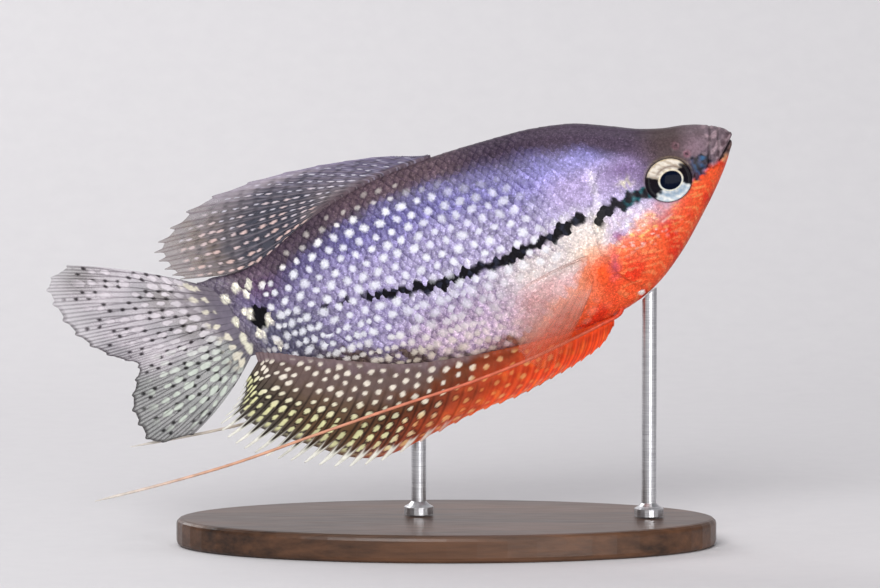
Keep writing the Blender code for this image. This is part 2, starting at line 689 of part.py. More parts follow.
def main():
    for obj in list(bpy.data.objects):
        bpy.data.objects.remove(obj)
    fish = bpy.data.collections.new("pearl_gourami")
    stand = bpy.data.collections.new("display_stand")
    tools = bpy.data.collections.new("cutters")
    for collection in (fish, stand, tools):
        bpy.context.scene.collection.children.link(collection)
    pose = bpy.data.objects.new("fish_pose", None)
    fish.objects.link(pose)
    pose.location = (POSE_X, 0, POSE_Z)
    pose.rotation_euler = (0, -PITCH, 0)
    bpy.context.view_layer.update()

    nodes = make_body(fish, tools)
    finish_head(nodes, fish, tools)
    for cover in make_gill_covers(fish, tools):
        nodes[cover.name] = cover
    for fin in (make_dorsal(fish), make_anal(fish), make_caudal(fish)):
        nodes[fin.name] = fin
    for side, hand in ((1, "left"), (-1, "right")):
        nodes["pectoral_fin_" + hand] = make_pectoral("pectoral_fin_" + hand, side, fish, tools)
        route = LEFT_THREAD if side > 0 else RIGHT_THREAD
        nodes["pelvic_fin_" + hand] = make_pelvic("pelvic_fin_" + hand, route, side, fish, tools)

    finish = {"head": "back", "lower_jaw": "breast", "trunk": "flank", "tail_stem": "flank"}
    for name, node in nodes.items():
        kind = name.split("_")[0]
        guess = {"eye": "eye", "gill": "breast", "pelvic": "thread"}.get(kind, "fin")
        paint(node, finish.get(name, guess))
        shade(node)
        node.parent = pose

    base = make_base(stand)
    paint(base, "walnut")
    shade(base)
    for name, spot in ROD_SPOTS.items():
        rod = make_rod(name, spot, stand, tools, pose)
        paint(rod, "steel")
        shade(rod)


main()
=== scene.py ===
import math

import bpy
import numpy as np
from mathutils import Matrix, Vector


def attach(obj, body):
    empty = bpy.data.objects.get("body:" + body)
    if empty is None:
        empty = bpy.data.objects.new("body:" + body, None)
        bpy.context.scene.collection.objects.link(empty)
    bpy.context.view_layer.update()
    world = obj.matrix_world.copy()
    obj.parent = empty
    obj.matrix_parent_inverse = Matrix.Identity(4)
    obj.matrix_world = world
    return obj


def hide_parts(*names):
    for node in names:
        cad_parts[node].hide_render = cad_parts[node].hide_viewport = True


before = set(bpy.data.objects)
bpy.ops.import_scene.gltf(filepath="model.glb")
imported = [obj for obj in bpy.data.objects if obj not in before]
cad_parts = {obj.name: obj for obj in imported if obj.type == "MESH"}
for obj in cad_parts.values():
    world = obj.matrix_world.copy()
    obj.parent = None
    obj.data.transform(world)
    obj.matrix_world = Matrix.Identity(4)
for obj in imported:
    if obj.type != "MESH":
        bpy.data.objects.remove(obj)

# The skin, scales, fins and eyes of a life-size pearl gourami model, its stand's finish, and the studio.
# Shapes are worked out in the fish's own frame, in millimetres: +X to the snout, +Z to the back, Y = 0 the
# middle plane, and the origin in the middle of the tail fin's root. place() then pitches it over the stand.

MM = 0.001
PITCH = math.radians(18.0)
POSE = Matrix.Translation((-34 * MM, 0, 39.5 * MM)) @ Matrix.Rotation(-PITCH, 4, "Y")
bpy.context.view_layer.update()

# The body's outline in the middle plane: (x, z). The solids have the same one.
BACK = ((-8, 6.4), (-4, 5.7), (1, 5.1), (6, 5.9), (12, 8.2), (18, 10.4), (26, 12.2), (36, 13.0), (46, 12.9),
        (56, 12.2), (61, 11.2), (66, 9.2), (71, 7.0), (74.5, 5.95), (78, 5.35), (80.4, 4.65), (82, 3.95),
        (83.4, 3.2), (84.3, 2.55), (84.8, 1.8))
BELLY = ((-8, -9.4), (-3, -9.4), (2, -9.9), (8, -12.0), (15, -15.0), (22, -17.7), (32, -19.7), (44, -20.9),
         (54, -21.2), (60, -20.35), (66, -18.15), (72, -13.75), (76.2, -9.75), (79, -6.95), (81, -4.75),
         (82.4, -3.05), (83.4, -1.65), (84.2, -0.25), (84.6, 0.7), (84.8, 1.2))
HALF_WIDTH = ((-8, 1.0), (-3, 1.35), (4, 2.2), (14, 3.5), (26, 4.9), (38, 5.9), (50, 6.4), (60, 6.6),
              (67, 6.3), (73, 5.5), (78, 4.5), (81.5, 3.5), (83.3, 2.5), (84.4, 1.5), (84.8, 0.8))
WIDEST_SHARE = 0.55         # how far up from belly to back the body is widest
TAIL_X, NECK_X, JAW_X, LIP_X, SNOUT_X = -5.0, 56.0, 79.0, 83.6, 84.8    # where the rings' spacing changes
TAIL_END = ((-5.2, 9), (-5.0, 5.2), (-3.4, 1.0), (-2.4, -3.5), (-1.3, -7.0), (-0.5, -9.2), (0.0, -14))
TAIL_SHEAR = 8.0            # ahead of this x the rings stand upright, behind it they lean into TAIL_END
GILL_CENTRE, GILL_RADIUS, GILL_TOP, GILL_LOW = (73.3, -7.0), 14.5, 3.5, -17.0
PREOPERCLE = ((66.6, 1.6), (67.1, -1.5), (66.9, -5.0), (67.4, -9.0), (68.6, -12.2), (70.5, -12.9))
EYE_CENTRE, EYE_SEEN, EYE_TURN = (72.9, -1.95), (3.8, 3.45), math.radians(10)
PUPIL_CENTRE, PUPIL_SEEN = (0.22, -0.05), (1.8, 1.5)
MOUTH_FRONT, MOUTH_CORNER = (84.5, 0.8), (81.7, -1.75)
NOSTRILS = ((77.0, 1.1), (75.6, 2.9))
COAT_DEPTH = 0.16           # the skin lies this far inside the solids where scales cover it
GROOVES = (((81.8, 3.9), (81.3, 2.2), (80.6, 0.6), (80.3, -0.9), (79.9, -2.1)),     # of the jaws
           ((83.0, 3.2), (82.6, 2.0), (82.4, 0.9), (82.1, -0.1), (81.8, -0.9)),
           ((79.7, -2.1), (80.4, -2.5), (81.1, -2.3)))

# Each fin's rays, front to back or top to bottom: (root x, tip x, tip z), or the tips alone
DORSAL_ROWS = ((37.3, 35.0, 13.7), (35, 30, 15.5), (32, 24, 16.7), (29.5, 17, 17.7), (27, 8, 18.3),
               (25, -1, 17.6), (23, -6.5, 15.2), (21, -9.9, 12.9), (19.3, -9.9, 10.9), (17.8, -9.0, 9.2),
               (16.5, -7.4, 7.8))
ANAL_ROWS = ((57.6, 57.1, -22.3), (56, 54.2, -24.8), (53, 49.5, -26.4), (49, 44.5, -27.4), (44, 38.5, -28.5),
             (38, 31.5, -29.0), (32, 24, -30.2), (26, 14.5, -31.6), (21, 7.5, -30.4), (16, 1.5, -27.6),
             (12, -3.5, -25.0), (8, -7.2, -21.8), (4.5, -8.8, -18.2), (2, -5.6, -15.6), (0.3, -3.2, -13.0))
CAUDAL_TIPS = ((-24.5, 14.3), (-28.6, 12.6), (-28.8, 9.2), (-27.6, 4.8), (-25.4, 1.0), (-22.2, -2.2),
               (-18.8, -4.6), (-20.0, -7.2), (-21.7, -10.6), (-21.6, -14.2), (-20.2, -17.6), (-13.6, -18.3))
PECTORAL_ROOT = ((57.0, -9.4), (56.3, -13.4))
PECTORAL_TIPS = ((43.8, -11.2), (42.0, -15.0), (41.2, -19.0), (41.8, -22.8), (44.6, -25.0), (48.4, -22.8),
                 (52.0, -18.4))
DORSAL_RAYS, ANAL_RAYS, CAUDAL_RAYS, PECTORAL_RAYS = 16, 39, 17, 11
RIGHT_THREAD = ((59.6, 0.9, -18.6), (58.6, 1.5, -20.6), (55, 2.2, -21.3), (50, 2.9, -22.0), (42, 3.2, -23.0),
                (32, 3.2, -23.6), (20, 3.0, -23.7), (6, 2.9, -24.0), (-8, 2.7, -24.4), (-20, 2.3, -24.1),
                (-32, 1.6, -23.4))
LEFT_THREAD = ((59.6, 0.9, -18.6), (58.6, 1.6, -20.6), (55, 2.7, -21.2), (48, 3.9, -21.5), (36, 5.0, -21.5),
               (24, 5.3, -21.2), (12, 4.9, -20.6), (0, 4.2, -19.8), (-10, 3.6, -19.0), (-24, 2.8, -17.2))

SCALE_PITCH, SCALE_ROW = 1.34, 0.92     # from scale to scale along a row, and from row to row
SCALE_LENGTH = 1.95 * SCALE_PITCH
SCALE_ROWS, SCALE_COLUMNS = 8, 7        # points along and across one scale
ROOT_SHARE = 0.62                       # the share of a scale that lies ahead of its place on the flank
PEARL_AT, PEARL_RADIUS = 0.745, 0.57    # where a pearl sits along its scale, and its radius
PEARL_SHIFT = (ROOT_SHARE - PEARL_AT) * SCALE_LENGTH
LIGHT = 1.32                            # how bright a white face turned to the camera looks in this studio


# Reading curves, and small number tools

def smooth(rows, at):
    """Values read at `at` along rows of (place, value, ...), by cubic pieces with averaged slopes."""
    rows = np.asarray(rows, float)
    if rows[0, 0] > rows[-1, 0]:
        rows = rows[::-1]
    places, values = rows[:, 0], rows[:, 1:]
    slopes = np.gradient(values, places, axis=0)
    at = np.clip(np.asarray(at, float), places[0], places[-1])
    k = np.clip(np.searchsorted(places, at, side="right") - 1, 0, len(places) - 2)
    step = (places[k + 1] - places[k])[..., None]
    t = ((at - places[k]) / step[..., 0])[..., None]
    near = (1 + 2 * t) * (1 - t) ** 2 * values[k] + t * (1 - t) ** 2 * step * slopes[k]
    far = t * t * (3 - 2 * t) * values[k + 1] + t * t * (t - 1) * step * slopes[k + 1]
    return near + far


def curve(rows, at):
    """As smooth(), for rows of (place, value)."""
    return smooth(rows, at)[..., 0]


def along(points, share):
    """The points at `share` (0 to 1) of a row of evenly counted points."""
    numbered = [(k, *p) for k, p in enumerate(points)]
    return smooth(numbered, np.asarray(share, float) * (len(points) - 1))


def ease(low, high, value):
    t = np.clip((np.asarray(value, float) - low) / (high - low), 0, 1)
    return t * t * (3 - 2 * t)


def bump(value, middle, width):
    return np.exp(-((value - middle) / width) ** 2)


def oval(x, z, centre, sizes):
    """Distance from an oval's centre, 1 at its edge."""
    return np.hypot((x - centre[0]) / sizes[0], (z - centre[1]) / sizes[1])


def unit(vectors):
    return vectors / np.maximum(np.linalg.norm(vectors, axis=-1, keepdims=True), 1e-9)


def scatter(number, lane, seed):
    """A value of 0 to 1 for each numbered spot in each lane, with no pattern to the eye."""
    return np.modf(np.abs(np.sin(number * 12.99 + lane * 78.23 + seed) * 4375.85))[0]


def ripple(x, z, size, seed):
    """A smooth uneven field of about -1 to 1, with blobs of about `size` mm."""
    rng = np.random.default_rng(seed)
    total = 0.0
    for _ in range(7):
        turn, phase, rate = rng.uniform(0, math.pi), rng.uniform(0, 2 * math.pi), rng.uniform(0.6, 1.6)
        total = total + np.sin((x * math.cos(turn) + z * math.sin(turn)) * 3.1 * rate / size + phase)
    return total / 3.2


def masks(x, z):
    """Masks over a surface: eased along x, eased along z, an oval spot, and the patches of a ripple."""
    return (lambda low, high: ease(low, high, x),
            lambda low, high: ease(low, high, z),
            lambda at_x, at_z, wide, tall: bump(x, at_x, wide) * bump(z, at_z, tall),
            lambda size, seed, low, high: ease(low, high, ripple(x, z, size, seed)))


def line_distance(x, z, line):
    """Distance from each point to a line of (x, z) points, and the share along it."""
    best, where = np.full(np.shape(x), 1e9), np.zeros(np.shape(x))
    count = len(line) - 1
    for k in range(count):
        (ax, az), (bx, bz) = line[k][:2], line[k + 1][:2]
        dx, dz = bx - ax, bz - az
        t = np.clip(((x - ax) * dx + (z - az) * dz) / (dx * dx + dz * dz), 0, 1)
        d = np.hypot(x - ax - t * dx, z - az - t * dz)
        near = d < best
        best, where = np.where(near, d, best), np.where(near, (k + t) / count, where)
    return best, where


def bend_distance(x, z, points, count):
    """Distance from each point to the smooth line through `points`, taken as `count` points."""
    return line_distance(x, z, along(points, np.linspace(0, 1, count)))[0]


# Colours

def rgb(r, g, b):
    """The surface colour, as linear light, that looks like this colour (0 to 255) in the studio's light."""
    values = np.array([r, g, b]) / 255
    return np.where(values <= 0.04045, values / 12.92, ((values + 0.055) / 1.055) ** 2.4) / LIGHT


def mix(a, b, share):
    share = np.asarray(share, float)[..., None]
    return np.asarray(a, float) * (1 - share) + np.asarray(b, float) * share


def painted(colour, *coats):
    """The colour under coats of (tone, share). A tone is a linear colour, an (r, g, b) for rgb(), or a number
    to darken what is there by."""
    for tone, share in coats:
        if isinstance(tone, tuple):
            tone = rgb(*tone)
        elif isinstance(tone, float):
            tone = colour * tone
        colour = mix(colour, tone, share)
    return colour


def ramp(value, stops):
    """Colours read along (value, (r, g, b)) stops."""
    places, colours = [stop[0] for stop in stops], np.array([rgb(*stop[1]) for stop in stops])
    return np.stack([np.interp(value, places, colours[:, k]) for k in range(3)], -1)


# Meshes

def place(points):
    """Fish-frame millimetres to the row frame's metres."""
    turned = np.array(POSE.to_3x3())
    return np.asarray(points, float).reshape(-1, 3) @ turned.T * MM + np.array(POSE.translation)


def mesh_object(name, points, faces, body=True):
    mesh = bpy.data.meshes.new(name)
    placed = place(points) if body else np.asarray(points, float)
    faces = np.asarray(faces)
    mesh.vertices.add(len(placed))
    mesh.vertices.foreach_set("co", placed.astype(np.float32).ravel())
    mesh.loops.add(faces.size)
    mesh.loops.foreach_set("vertex_index", faces.astype(np.int32).ravel())
    mesh.polygons.add(len(faces))
    mesh.polygons.foreach_set("loop_start", np.arange(0, faces.size, faces.shape[1], dtype=np.int32))
    mesh.update(calc_edges=True)
    mesh.validate()
    mesh.shade_smooth()
    obj = bpy.data.objects.new(name, mesh)
    bpy.context.scene.collection.objects.link(obj)
    return obj


def grid_faces(rows, columns, wrap=False):
    i, j = np.meshgrid(np.arange(rows - 1), np.arange(columns if wrap else columns - 1), indexing="ij")
    a = i * columns + j
    b = i * columns + (j + 1) % columns
    return np.stack([a, b, b + columns, a + columns], -1).reshape(-1, 4)


def set_colour(obj, colours, alpha=None):
    """A colour for each vertex, in linear light, with an optional fourth channel."""
    layer = obj.data.attributes.new("Col", "FLOAT_COLOR", "POINT")
    full = np.ones((len(obj.data.vertices), 4), np.float32)
    full[:, :3] = np.clip(np.reshape(colours, (-1, 3)), 0, 1)
    if alpha is not None:
        full[:, 3] = np.clip(np.ravel(alpha), 0, 1)
    layer.data.foreach_set("color", full.ravel())


def set_vector(obj, name, *values):
    """Three numbers for each vertex."""
    layer = obj.data.attributes.new(name, "FLOAT_VECTOR", "POINT")
    vectors = np.stack(np.broadcast_arrays(*values), -1)
    layer.data.foreach_set("vector", vectors.astype(np.float32).ravel())


def set_uv(obj, name, u, v):
    """A UV map from one (u, v) for each vertex."""
    layer = obj.data.uv_layers.new(name=name)
    corners = np.zeros(len(obj.data.loops), np.int32)
    obj.data.loops.foreach_get("vertex_index", corners)
    uv = np.stack([u.ravel(), v.ravel()], -1).astype(np.float32)
    layer.data.foreach_set("uv", uv[corners].ravel())


# The body's surface: rings at stations along x, each with equal steps of arc on the back and belly halves

HALF_STEPS = 46
RING_STEPS = 2 * HALF_STEPS


def body_levels(x):
    back, belly = curve(BACK, x), curve(BELLY, x)
    return belly, belly + WIDEST_SHARE * (back - belly), back, curve(HALF_WIDTH, x)


def half_powers(x):
    """How each section narrows below and above its widest line: 1 is an ellipse, less is squarer."""
    head = np.clip((x - 54) / 16, 0, 1)
    return 1.18 - 0.22 * head, 1.0 - 0.15 * head


def section_table(stations):
    """y and z of the left half ring at each station, from belly to back, and each half's arc length."""
    turns = np.linspace(0, math.pi / 2, 160)
    belly, middle, back, half = body_levels(stations)
    lower, upper = half_powers(stations)
    table = np.zeros((len(stations), RING_STEPS + 1, 2))
    lengths = np.zeros((len(stations), 2))
    for k in range(len(stations)):
        for up, reach, power in ((0, belly[k] - middle[k], lower[k]), (1, back[k] - middle[k], upper[k])):
            y = half[k] * np.clip(np.cos(turns), 0, 1) ** power
            z = middle[k] + reach * np.sin(turns)
            arc = np.concatenate([[0], np.cumsum(np.hypot(np.diff(y), np.diff(z)))])
            lengths[k, up] = arc[-1]
            even = np.linspace(0, arc[-1], HALF_STEPS + 1)
            run = np.stack([np.interp(even, arc, y), np.interp(even, arc, z)], -1)
            if up:
                table[k, HALF_STEPS:] = run
            else:
                table[k, :HALF_STEPS + 1] = run[::-1]
    return table, lengths


def skin_stations():
    runs = [np.linspace(start, end, count, endpoint=False)
            for start, end, count in ((TAIL_X, NECK_X, 112), (NECK_X, JAW_X, 86), (JAW_X, LIP_X, 50))]
    return np.concatenate([*runs, LIP_X + (SNOUT_X - LIP_X) * np.sin(np.linspace(0, math.pi / 2, 18))])


def tail_end(z):
    """x of the slanted end of the tail stem."""
    return curve([(b, a) for a, b in TAIL_END], z)


def lean_tail(x, z):
    """Moves points behind TAIL_SHEAR so that the last ring lies along the slanted end of the tail stem."""
    share = np.clip((TAIL_SHEAR - x) / (TAIL_SHEAR - TAIL_X), 0, 1)
    return x + share ** 1.5 * (tail_end(z) - TAIL_X)


def mouth_coordinates(x, z):
    """Distance above the mouth's line, and the distance ahead of its corner, in mm."""
    run, rise = MOUTH_FRONT[0] - MOUTH_CORNER[0], MOUTH_FRONT[1] - MOUTH_CORNER[1]
    length = math.hypot(run, rise)
    dx, dz = x - MOUTH_CORNER[0], z - MOUTH_CORNER[1]
    return (dz * run - dx * rise) / length, (dx * run + dz * rise) / length


def gill_share(x, z):
    """Distance in front of the gill cover's rear edge, and how strongly that edge shows there."""
    ahead = GILL_RADIUS - np.hypot(x - GILL_CENTRE[0], z - GILL_CENTRE[1])
    shows = ease(GILL_TOP + 1.5, GILL_TOP - 1.5, z) * ease(GILL_LOW - 1, GILL_LOW + 2, z) * (x < 68)
    return ahead, shows


def skin_relief(x, z):
    """How far the skin stands out from the smooth body, in mm."""
    out = -COAT_DEPTH * (1 - 0.65 * ease(66, 74, x)) - 0.5 * ease(3.2, 0.2, x - tail_end(z))
    ahead, shows = gill_share(x, z)
    out = out + shows * (0.24 * np.exp(-np.clip(ahead, 0, None) / 2.2) * (ahead > 0)
                         - 0.16 * np.exp(-np.clip(-ahead, 0, None) / 0.35) * (ahead <= 0))
    out = out - 0.10 * bump(bend_distance(x, z, PREOPERCLE, 24), 0, 0.35)
    r = oval(x, z, EYE_CENTRE, EYE_SEEN)
    out = out - 1.5 * ease(1.0, 0.86, r) + 0.12 * bump(r, 1.05, 0.05)
    for spot in NOSTRILS:
        d = oval(x, z, spot, (1, 1))
        out = out - 0.45 * bump(d, 0, 0.26) + 0.10 * bump(d, 0.48, 0.16)
    above, forward = mouth_coordinates(x, z)
    lips = 0.17 * bump(np.abs(above), 0.44, 0.27) - 0.8 * bump(above, 0, 0.13)
    out = out + ease(-0.25, 0.35, forward) * lips
    for depth, line in zip((0.18, 0.14, 0.10), GROOVES):
        d = bend_distance(x, z, line, 12)
        out = out - depth * bump(d, 0, 0.17) + 0.04 * bump(d, 0.45, 0.25)
    return out


def grid_normals(grid):
    """Outward normals of a grid of points that runs forward in rows and up in columns."""
    return unit(np.cross(np.gradient(grid, axis=1), np.gradient(grid, axis=0)))


def half_normals(grid):
    """Normals of a half of the body, which lie in the middle plane along its two edges."""
    normals = grid_normals(grid)
    normals[:, [0, -1], 1] = 0
    return unit(normals)


def make_skin_table():
    """Left half of the skin as a grid of points (station, ring step), with outward normals."""
    stations = skin_stations()
    table, lengths = section_table(stations)
    y, z = table[..., 0], table[..., 1]
    x = lean_tail(np.repeat(stations[:, None], RING_STEPS + 1, axis=1), z)
    grid = np.stack([x, y, z], -1)
    grid = grid + half_normals(grid) * skin_relief(x, z)[..., None]
    grid[:, [0, -1], 1] = 0
    return stations, lengths, grid, half_normals(grid)


STATIONS, ARCS, SKIN, SKIN_NORMALS = make_skin_table()


def arc_lengths(x):
    """Arc from the side's middle line to the belly and to the back, in mm."""
    return np.interp(x, STATIONS, ARCS[:, 0]), np.interp(x, STATIONS, ARCS[:, 1])


def on_skin(x, s):
    """Points and normals of the left skin at nominal x and arc s in mm above the side's middle line."""
    row = np.interp(x, STATIONS, np.arange(len(STATIONS)))
    down, up = arc_lengths(x)
    share = np.where(s > 0, s / up, s / down)
    over = np.abs(share) > 1
    share = np.where(over, np.sign(share) * (2 - np.abs(share)), share)
    column = (share + 1) * HALF_STEPS
    i = np.clip(row.astype(int), 0, len(STATIONS) - 2)
    j = np.clip(column.astype(int), 0, RING_STEPS - 1)
    u, v = (row - i)[..., None], (column - j)[..., None]
    found = []
    for grid in (SKIN, SKIN_NORMALS):
        low = grid[i, j] * (1 - v) + grid[i, j + 1] * v
        high = grid[i + 1, j] * (1 - v) + grid[i + 1, j + 1] * v
        values = low * (1 - u) + high * u
        values[..., 1] = np.where(over, -values[..., 1], values[..., 1])
        found.append(values)
    return found[0], unit(found[1])


def flank_y(x, z):
    """Half width of the smooth body at (x, z)."""
    belly, middle, back, half = body_levels(np.asarray(float(x)))
    lower, upper = half_powers(x)
    edge, power = (back, upper) if z > middle else (belly, lower)
    share = float((z - middle) / (edge - middle))
    return float(half) * max(1 - share ** 2, 0) ** (0.5 * power)


# The coat's colours, at (x, z) in the fish's frame. Both flanks carry the same markings.

DARK_BACK, VIOLET, LAVENDER = rgb(76, 62, 76), rgb(124, 119, 178), rgb(190, 181, 214)
ORANGE, RED, GOLD, BLACK = rgb(246, 92, 50), rgb(232, 60, 34), rgb(252, 206, 120), rgb(6, 6, 10)
PEARL, WARM_PEARL = rgb(246, 247, 255), rgb(252, 236, 208)
RED_EDGE = ((40, -21), (44, -18.4), (50, -14.7), (56, -11.5), (57.5, -8.9), (59, -8.4), (61.5, -7.4),
            (65, -7.0), (69, -6.0), (73, -5.1), (75.5, -3.8), (77, -2.4), (81, -1.8), (84.0, -1.1))
BROWN_EDGE = ((-6, -8.0), (4, -9.9), (14, -13.4), (20, -16.1), (26, -17.8), (34, -20.8))
DARK_DEPTH = ((-6, 2.4), (4, 2.8), (14, 3.2), (24, 3.0), (36, 2.6), (50, 3.0), (60, 3.8), (68, 4.5),
              (74, 5.8), (80, 6))       # how far down from the back its dark colour reaches
BAND = ((3, -3.9), (10, -4.2), (20, -4.8), (22, -5.2), (28, -6.2), (33, -6.7), (38, -6.1), (44, -6.0),
        (48, -5.5), (52, -4.7), (57.4, -3.3))
CHEEK_BAND = ((60.2, -4.6), (61.0, -3.5), (63.2, -3.0), (65, -3.3), (66.7, -2.8), (69.2, -2.8))
DARK_SPOT = (2.7, -2.9)
TAIL_PEARLS = ((0.73, 2.5), (-1.56, 1.36), (0.9, -1.5), (1.6, -2.3), (-1.16, -2.65), (2.14, -5.65),
               (4.53, -8.14), (4.4, -4.1), (2.02, 1.22), (2.85, 2.45), (-0.82, -5.54), (-0.35, -7.4))


def band_mask(x, z):
    """The jagged dark band along the flank, behind the eye, and in front of it."""
    zig = 0.26 * np.sign(np.sin(x * 2.25)) * np.abs(np.sin(x * 2.25)) ** 0.6
    d, share = line_distance(x, z - zig, BAND)
    width = 0.74 + 0.24 * ripple(x, z, 1.3, 3) - 0.18 * ease(0.45, 0.28, share) + 0.14 * bump(x, 46, 6)
    flank = ease(width + 0.16, width - 0.16, d) * ease(0.185, 0.235, share) * (x < 58.2)
    dashes = ease(11.8, 12.6, x) * ease(20.8, 20.0, x) * ease(-0.45, 0.1, np.sin(x * 1.9 + 1.0))
    flank = np.maximum(flank, 0.9 * ease(0.50, 0.30, d) * dashes)
    d, _ = line_distance(x, z - 0.25 * np.sin(x * 2.6), CHEEK_BAND)
    width = 0.98 + 0.36 * ripple(x, z, 1.0, 9)
    cheek = ease(width + 0.22, width - 0.22, d)
    d = oval(x, z - 0.2 * (x - 78.4), (78.4, -1.0), (2.1, 1.4))
    d = np.minimum(d, oval(x, z, (77.5, -2.2), (1.25, 1.2)))
    return flank, cheek, 0.96 * ease(1.3, 0.72, d + 0.3 * ripple(x, z, 0.7, 12))


def spot_distance(x, z):
    """Distance from the black spot at the tail's root, 1 at its edge."""
    return oval(x + 0.25 * (z - DARK_SPOT[1]), z, DARK_SPOT, (1.85, 1.9))


def red_coats(x, z, y, uneven, fine):
    """The coats of the red throat and cheek: its own colours, painted shade under the chin, then the gold
    threads and flecks on it.
    """
    ex, ez, spot, patches = masks(x, z)
    edge = np.interp(x, *zip(*RED_EDGE))
    spread = 1 - 0.55 * ex(72, 77)
    red = ease(1.0 * spread, -1.3 * spread, z - edge + (0.8 * uneven + 0.5 * fine) * spread) * ex(39, 47)
    warm = painted(
        mix(ORANGE, RED, ease(-0.5, 0.9, ripple(x, z, 2.6, 15) + 0.35 * fine)),
        ((240, 178, 160), 0.85 * bump(z, edge, 2.0) * ex(78, 66)),
        ((252, 156, 114), 0.85 * ex(61, 55) * ez(-19.5, -13)),
        (RED * 0.8, 0.7 * bump(x - 0.15 * z, 60.6, 1.3) * bump(z, -15.0, 2.4)),
        ((244, 142, 98), 0.4 * spot(64.6, -11.2, 3.0, 2.0)))
    slant = 0.9 * np.clip(3.6 - np.abs(y), 0, 9)        # breaks the lines up where they round the throat
    threads = ease(0.25, 0.8, ripple(x * 0.45 + slant, z * 1.9 + 1.3 * slant, 0.75, 25))
    threads = threads * ex(82, 76) * ex(56, 62)
    flecks = ease(0.25, 0.7, ripple(x * 0.6 + slant, z * 1.4 + slant, 0.62, 21))
    flecks = flecks * bump(x - 0.4 * z, 69.5, 4.6) * bump(z, -8.4, 2.4)
    purple = spot(62.3, -7.9, 1.2, 0.8) + 0.6 * bump(x - 0.35 * z, 64.6, 0.7) * bump(z, -12.6, 1.8)
    return ((warm, red),
            ((190, 150, 168), 0.4 * spot(69.8, -7.1, 1.6, 1.2)),
            # Painted shade along the underside of the chin and throat.
            (0.7, 0.8 * ease(1.2, 0.2, z - curve(BELLY, x)) * ex(66, 70) * ex(81, 79)),
            (mix(GOLD, rgb(255, 170, 110), ez(-6, -11)), 0.36 * threads * red),
            (mix(GOLD, rgb(250, 240, 236), patches(1.1, 22, -0.4, 0.4)), 0.8 * flecks),
            ((246, 206, 176), 0.8 * spot(57.2, -9.4, 2.4, 2.0)),
            ((250, 88, 38), 0.9 * spot(58.0, -12.9, 1.9, 2.9)),
            ((156, 84, 140), np.clip(0.85 * purple, 0, 1)))


def dark_coats(x, z):
    """The coats of the dark band and the dark patch in front of the eye, with painted blue and teal glints in
    their black.
    """
    ex, _, _, patches = masks(x, z)
    flank, cheek, front = band_mask(x, z)
    # Painted teal glints in the dark patch in front of the eye.
    teal_glint = bump(x - 0.3 * z, 79.3, 0.5) * patches(0.8, 33, -0.3, 0.3) * bump(z, -0.7, 1.5)
    teal_glint = teal_glint + 0.7 * bump(x + 0.2 * z, 77.5, 0.4) * patches(0.7, 37, -0.1, 0.4)
    patch = painted(rgb(10, 6, 16), ((66, 58, 84), 0.8 * patches(0.55, 34, -0.2, 0.6)),
                    ((26, 92, 142), 0.85 * np.clip(teal_glint, 0, 1)))
    # The blue-grey patches in the band's black are painted reflections off its scales.
    return ((mix(BLACK, rgb(38, 42, 58), 0.8 * patches(0.7, 35, 0.3, 0.8)), 0.99 * flank),
            # The teal in the cheek band near the eye is a painted glint.
            (mix(BLACK, rgb(18, 88, 96), 0.9 * ex(64.0, 66.4) * patches(0.9, 31, -0.1, 0.3)), 0.98 * cheek),
            (patch, front))


def face_coats(x, z):
    """The coats of the mouth, the jaws' grooves, the gill cover's edge, the nostrils and the eye's rim. The
    dark mouth slit and the darkening in the grooves, behind the gill cover's edge and in the nostril pits are
    painted shade.
    """
    ex, ez, _, patches = masks(x, z)
    above, forward = mouth_coordinates(x, z)
    here = ease(-0.2, 0.5, forward)
    at_mouth = masks(forward, above)[2]
    nicks = at_mouth(0.9, -0.2, 0.35, 0.28) + at_mouth(2.1, -0.3, 0.3, 0.3)
    jaw = mix(rgb(244, 172, 120), rgb(116, 84, 72), ease(1.0, 1.8, forward))
    coats = [((86, 66, 72), 0.8 * bump(above, 0.75, 0.5) * here),
             ((166, 142, 150), 0.85 * ex(79.9, 81.2) * patches(0.9, 61, -0.3, 0.5) * ease(0.1, 0.7, above)),
             (jaw, 0.85 * bump(above, -0.5, 0.42) * here),
             ((46, 28, 32), 0.85 * nicks),
             # Painted shade in the slit between the lips.
             ((16, 10, 14), 0.96 * bump(above, 0, 0.15) * ease(-0.3, 0.2, forward))]
    # Painted shade in the jaws' grooves.
    for strength, line in zip((0.75, 0.7, 0.6), GROOVES):
        coats.append((0.35, strength * bump(bend_distance(x, z, line, 12), 0, 0.2)))
    # Painted shade just behind the gill cover's rear edge.
    ahead, shows = gill_share(x, z)
    coats.append((0.45, shows * bump(ahead, -0.12, 0.30) * (0.6 - 0.3 * ez(-6, -10))))
    # The nostrils' dark pits are painted shade.
    for nostril, clear in zip(NOSTRILS, (1.0, 0.5)):
        d = oval(x, z, nostril, (1, 1)) + 0.08 * ripple(x, z, 0.5, 36)
        coats += [((164, 108, 124), 0.5 * clear * bump(d, 0.42, 0.22)),
                  ((50, 32, 42), 0.8 * clear * ease(0.30, 0.14, d))]
    r = oval(x, z, EYE_CENTRE, EYE_SEEN)
    return coats + [((58, 44, 54), 0.85 * bump(r, 1.0, 0.05)),
                    ((150, 132, 100), 0.4 * bump(r, 1.07, 0.035) * ease(-1, 2, z - EYE_CENTRE[1]))]


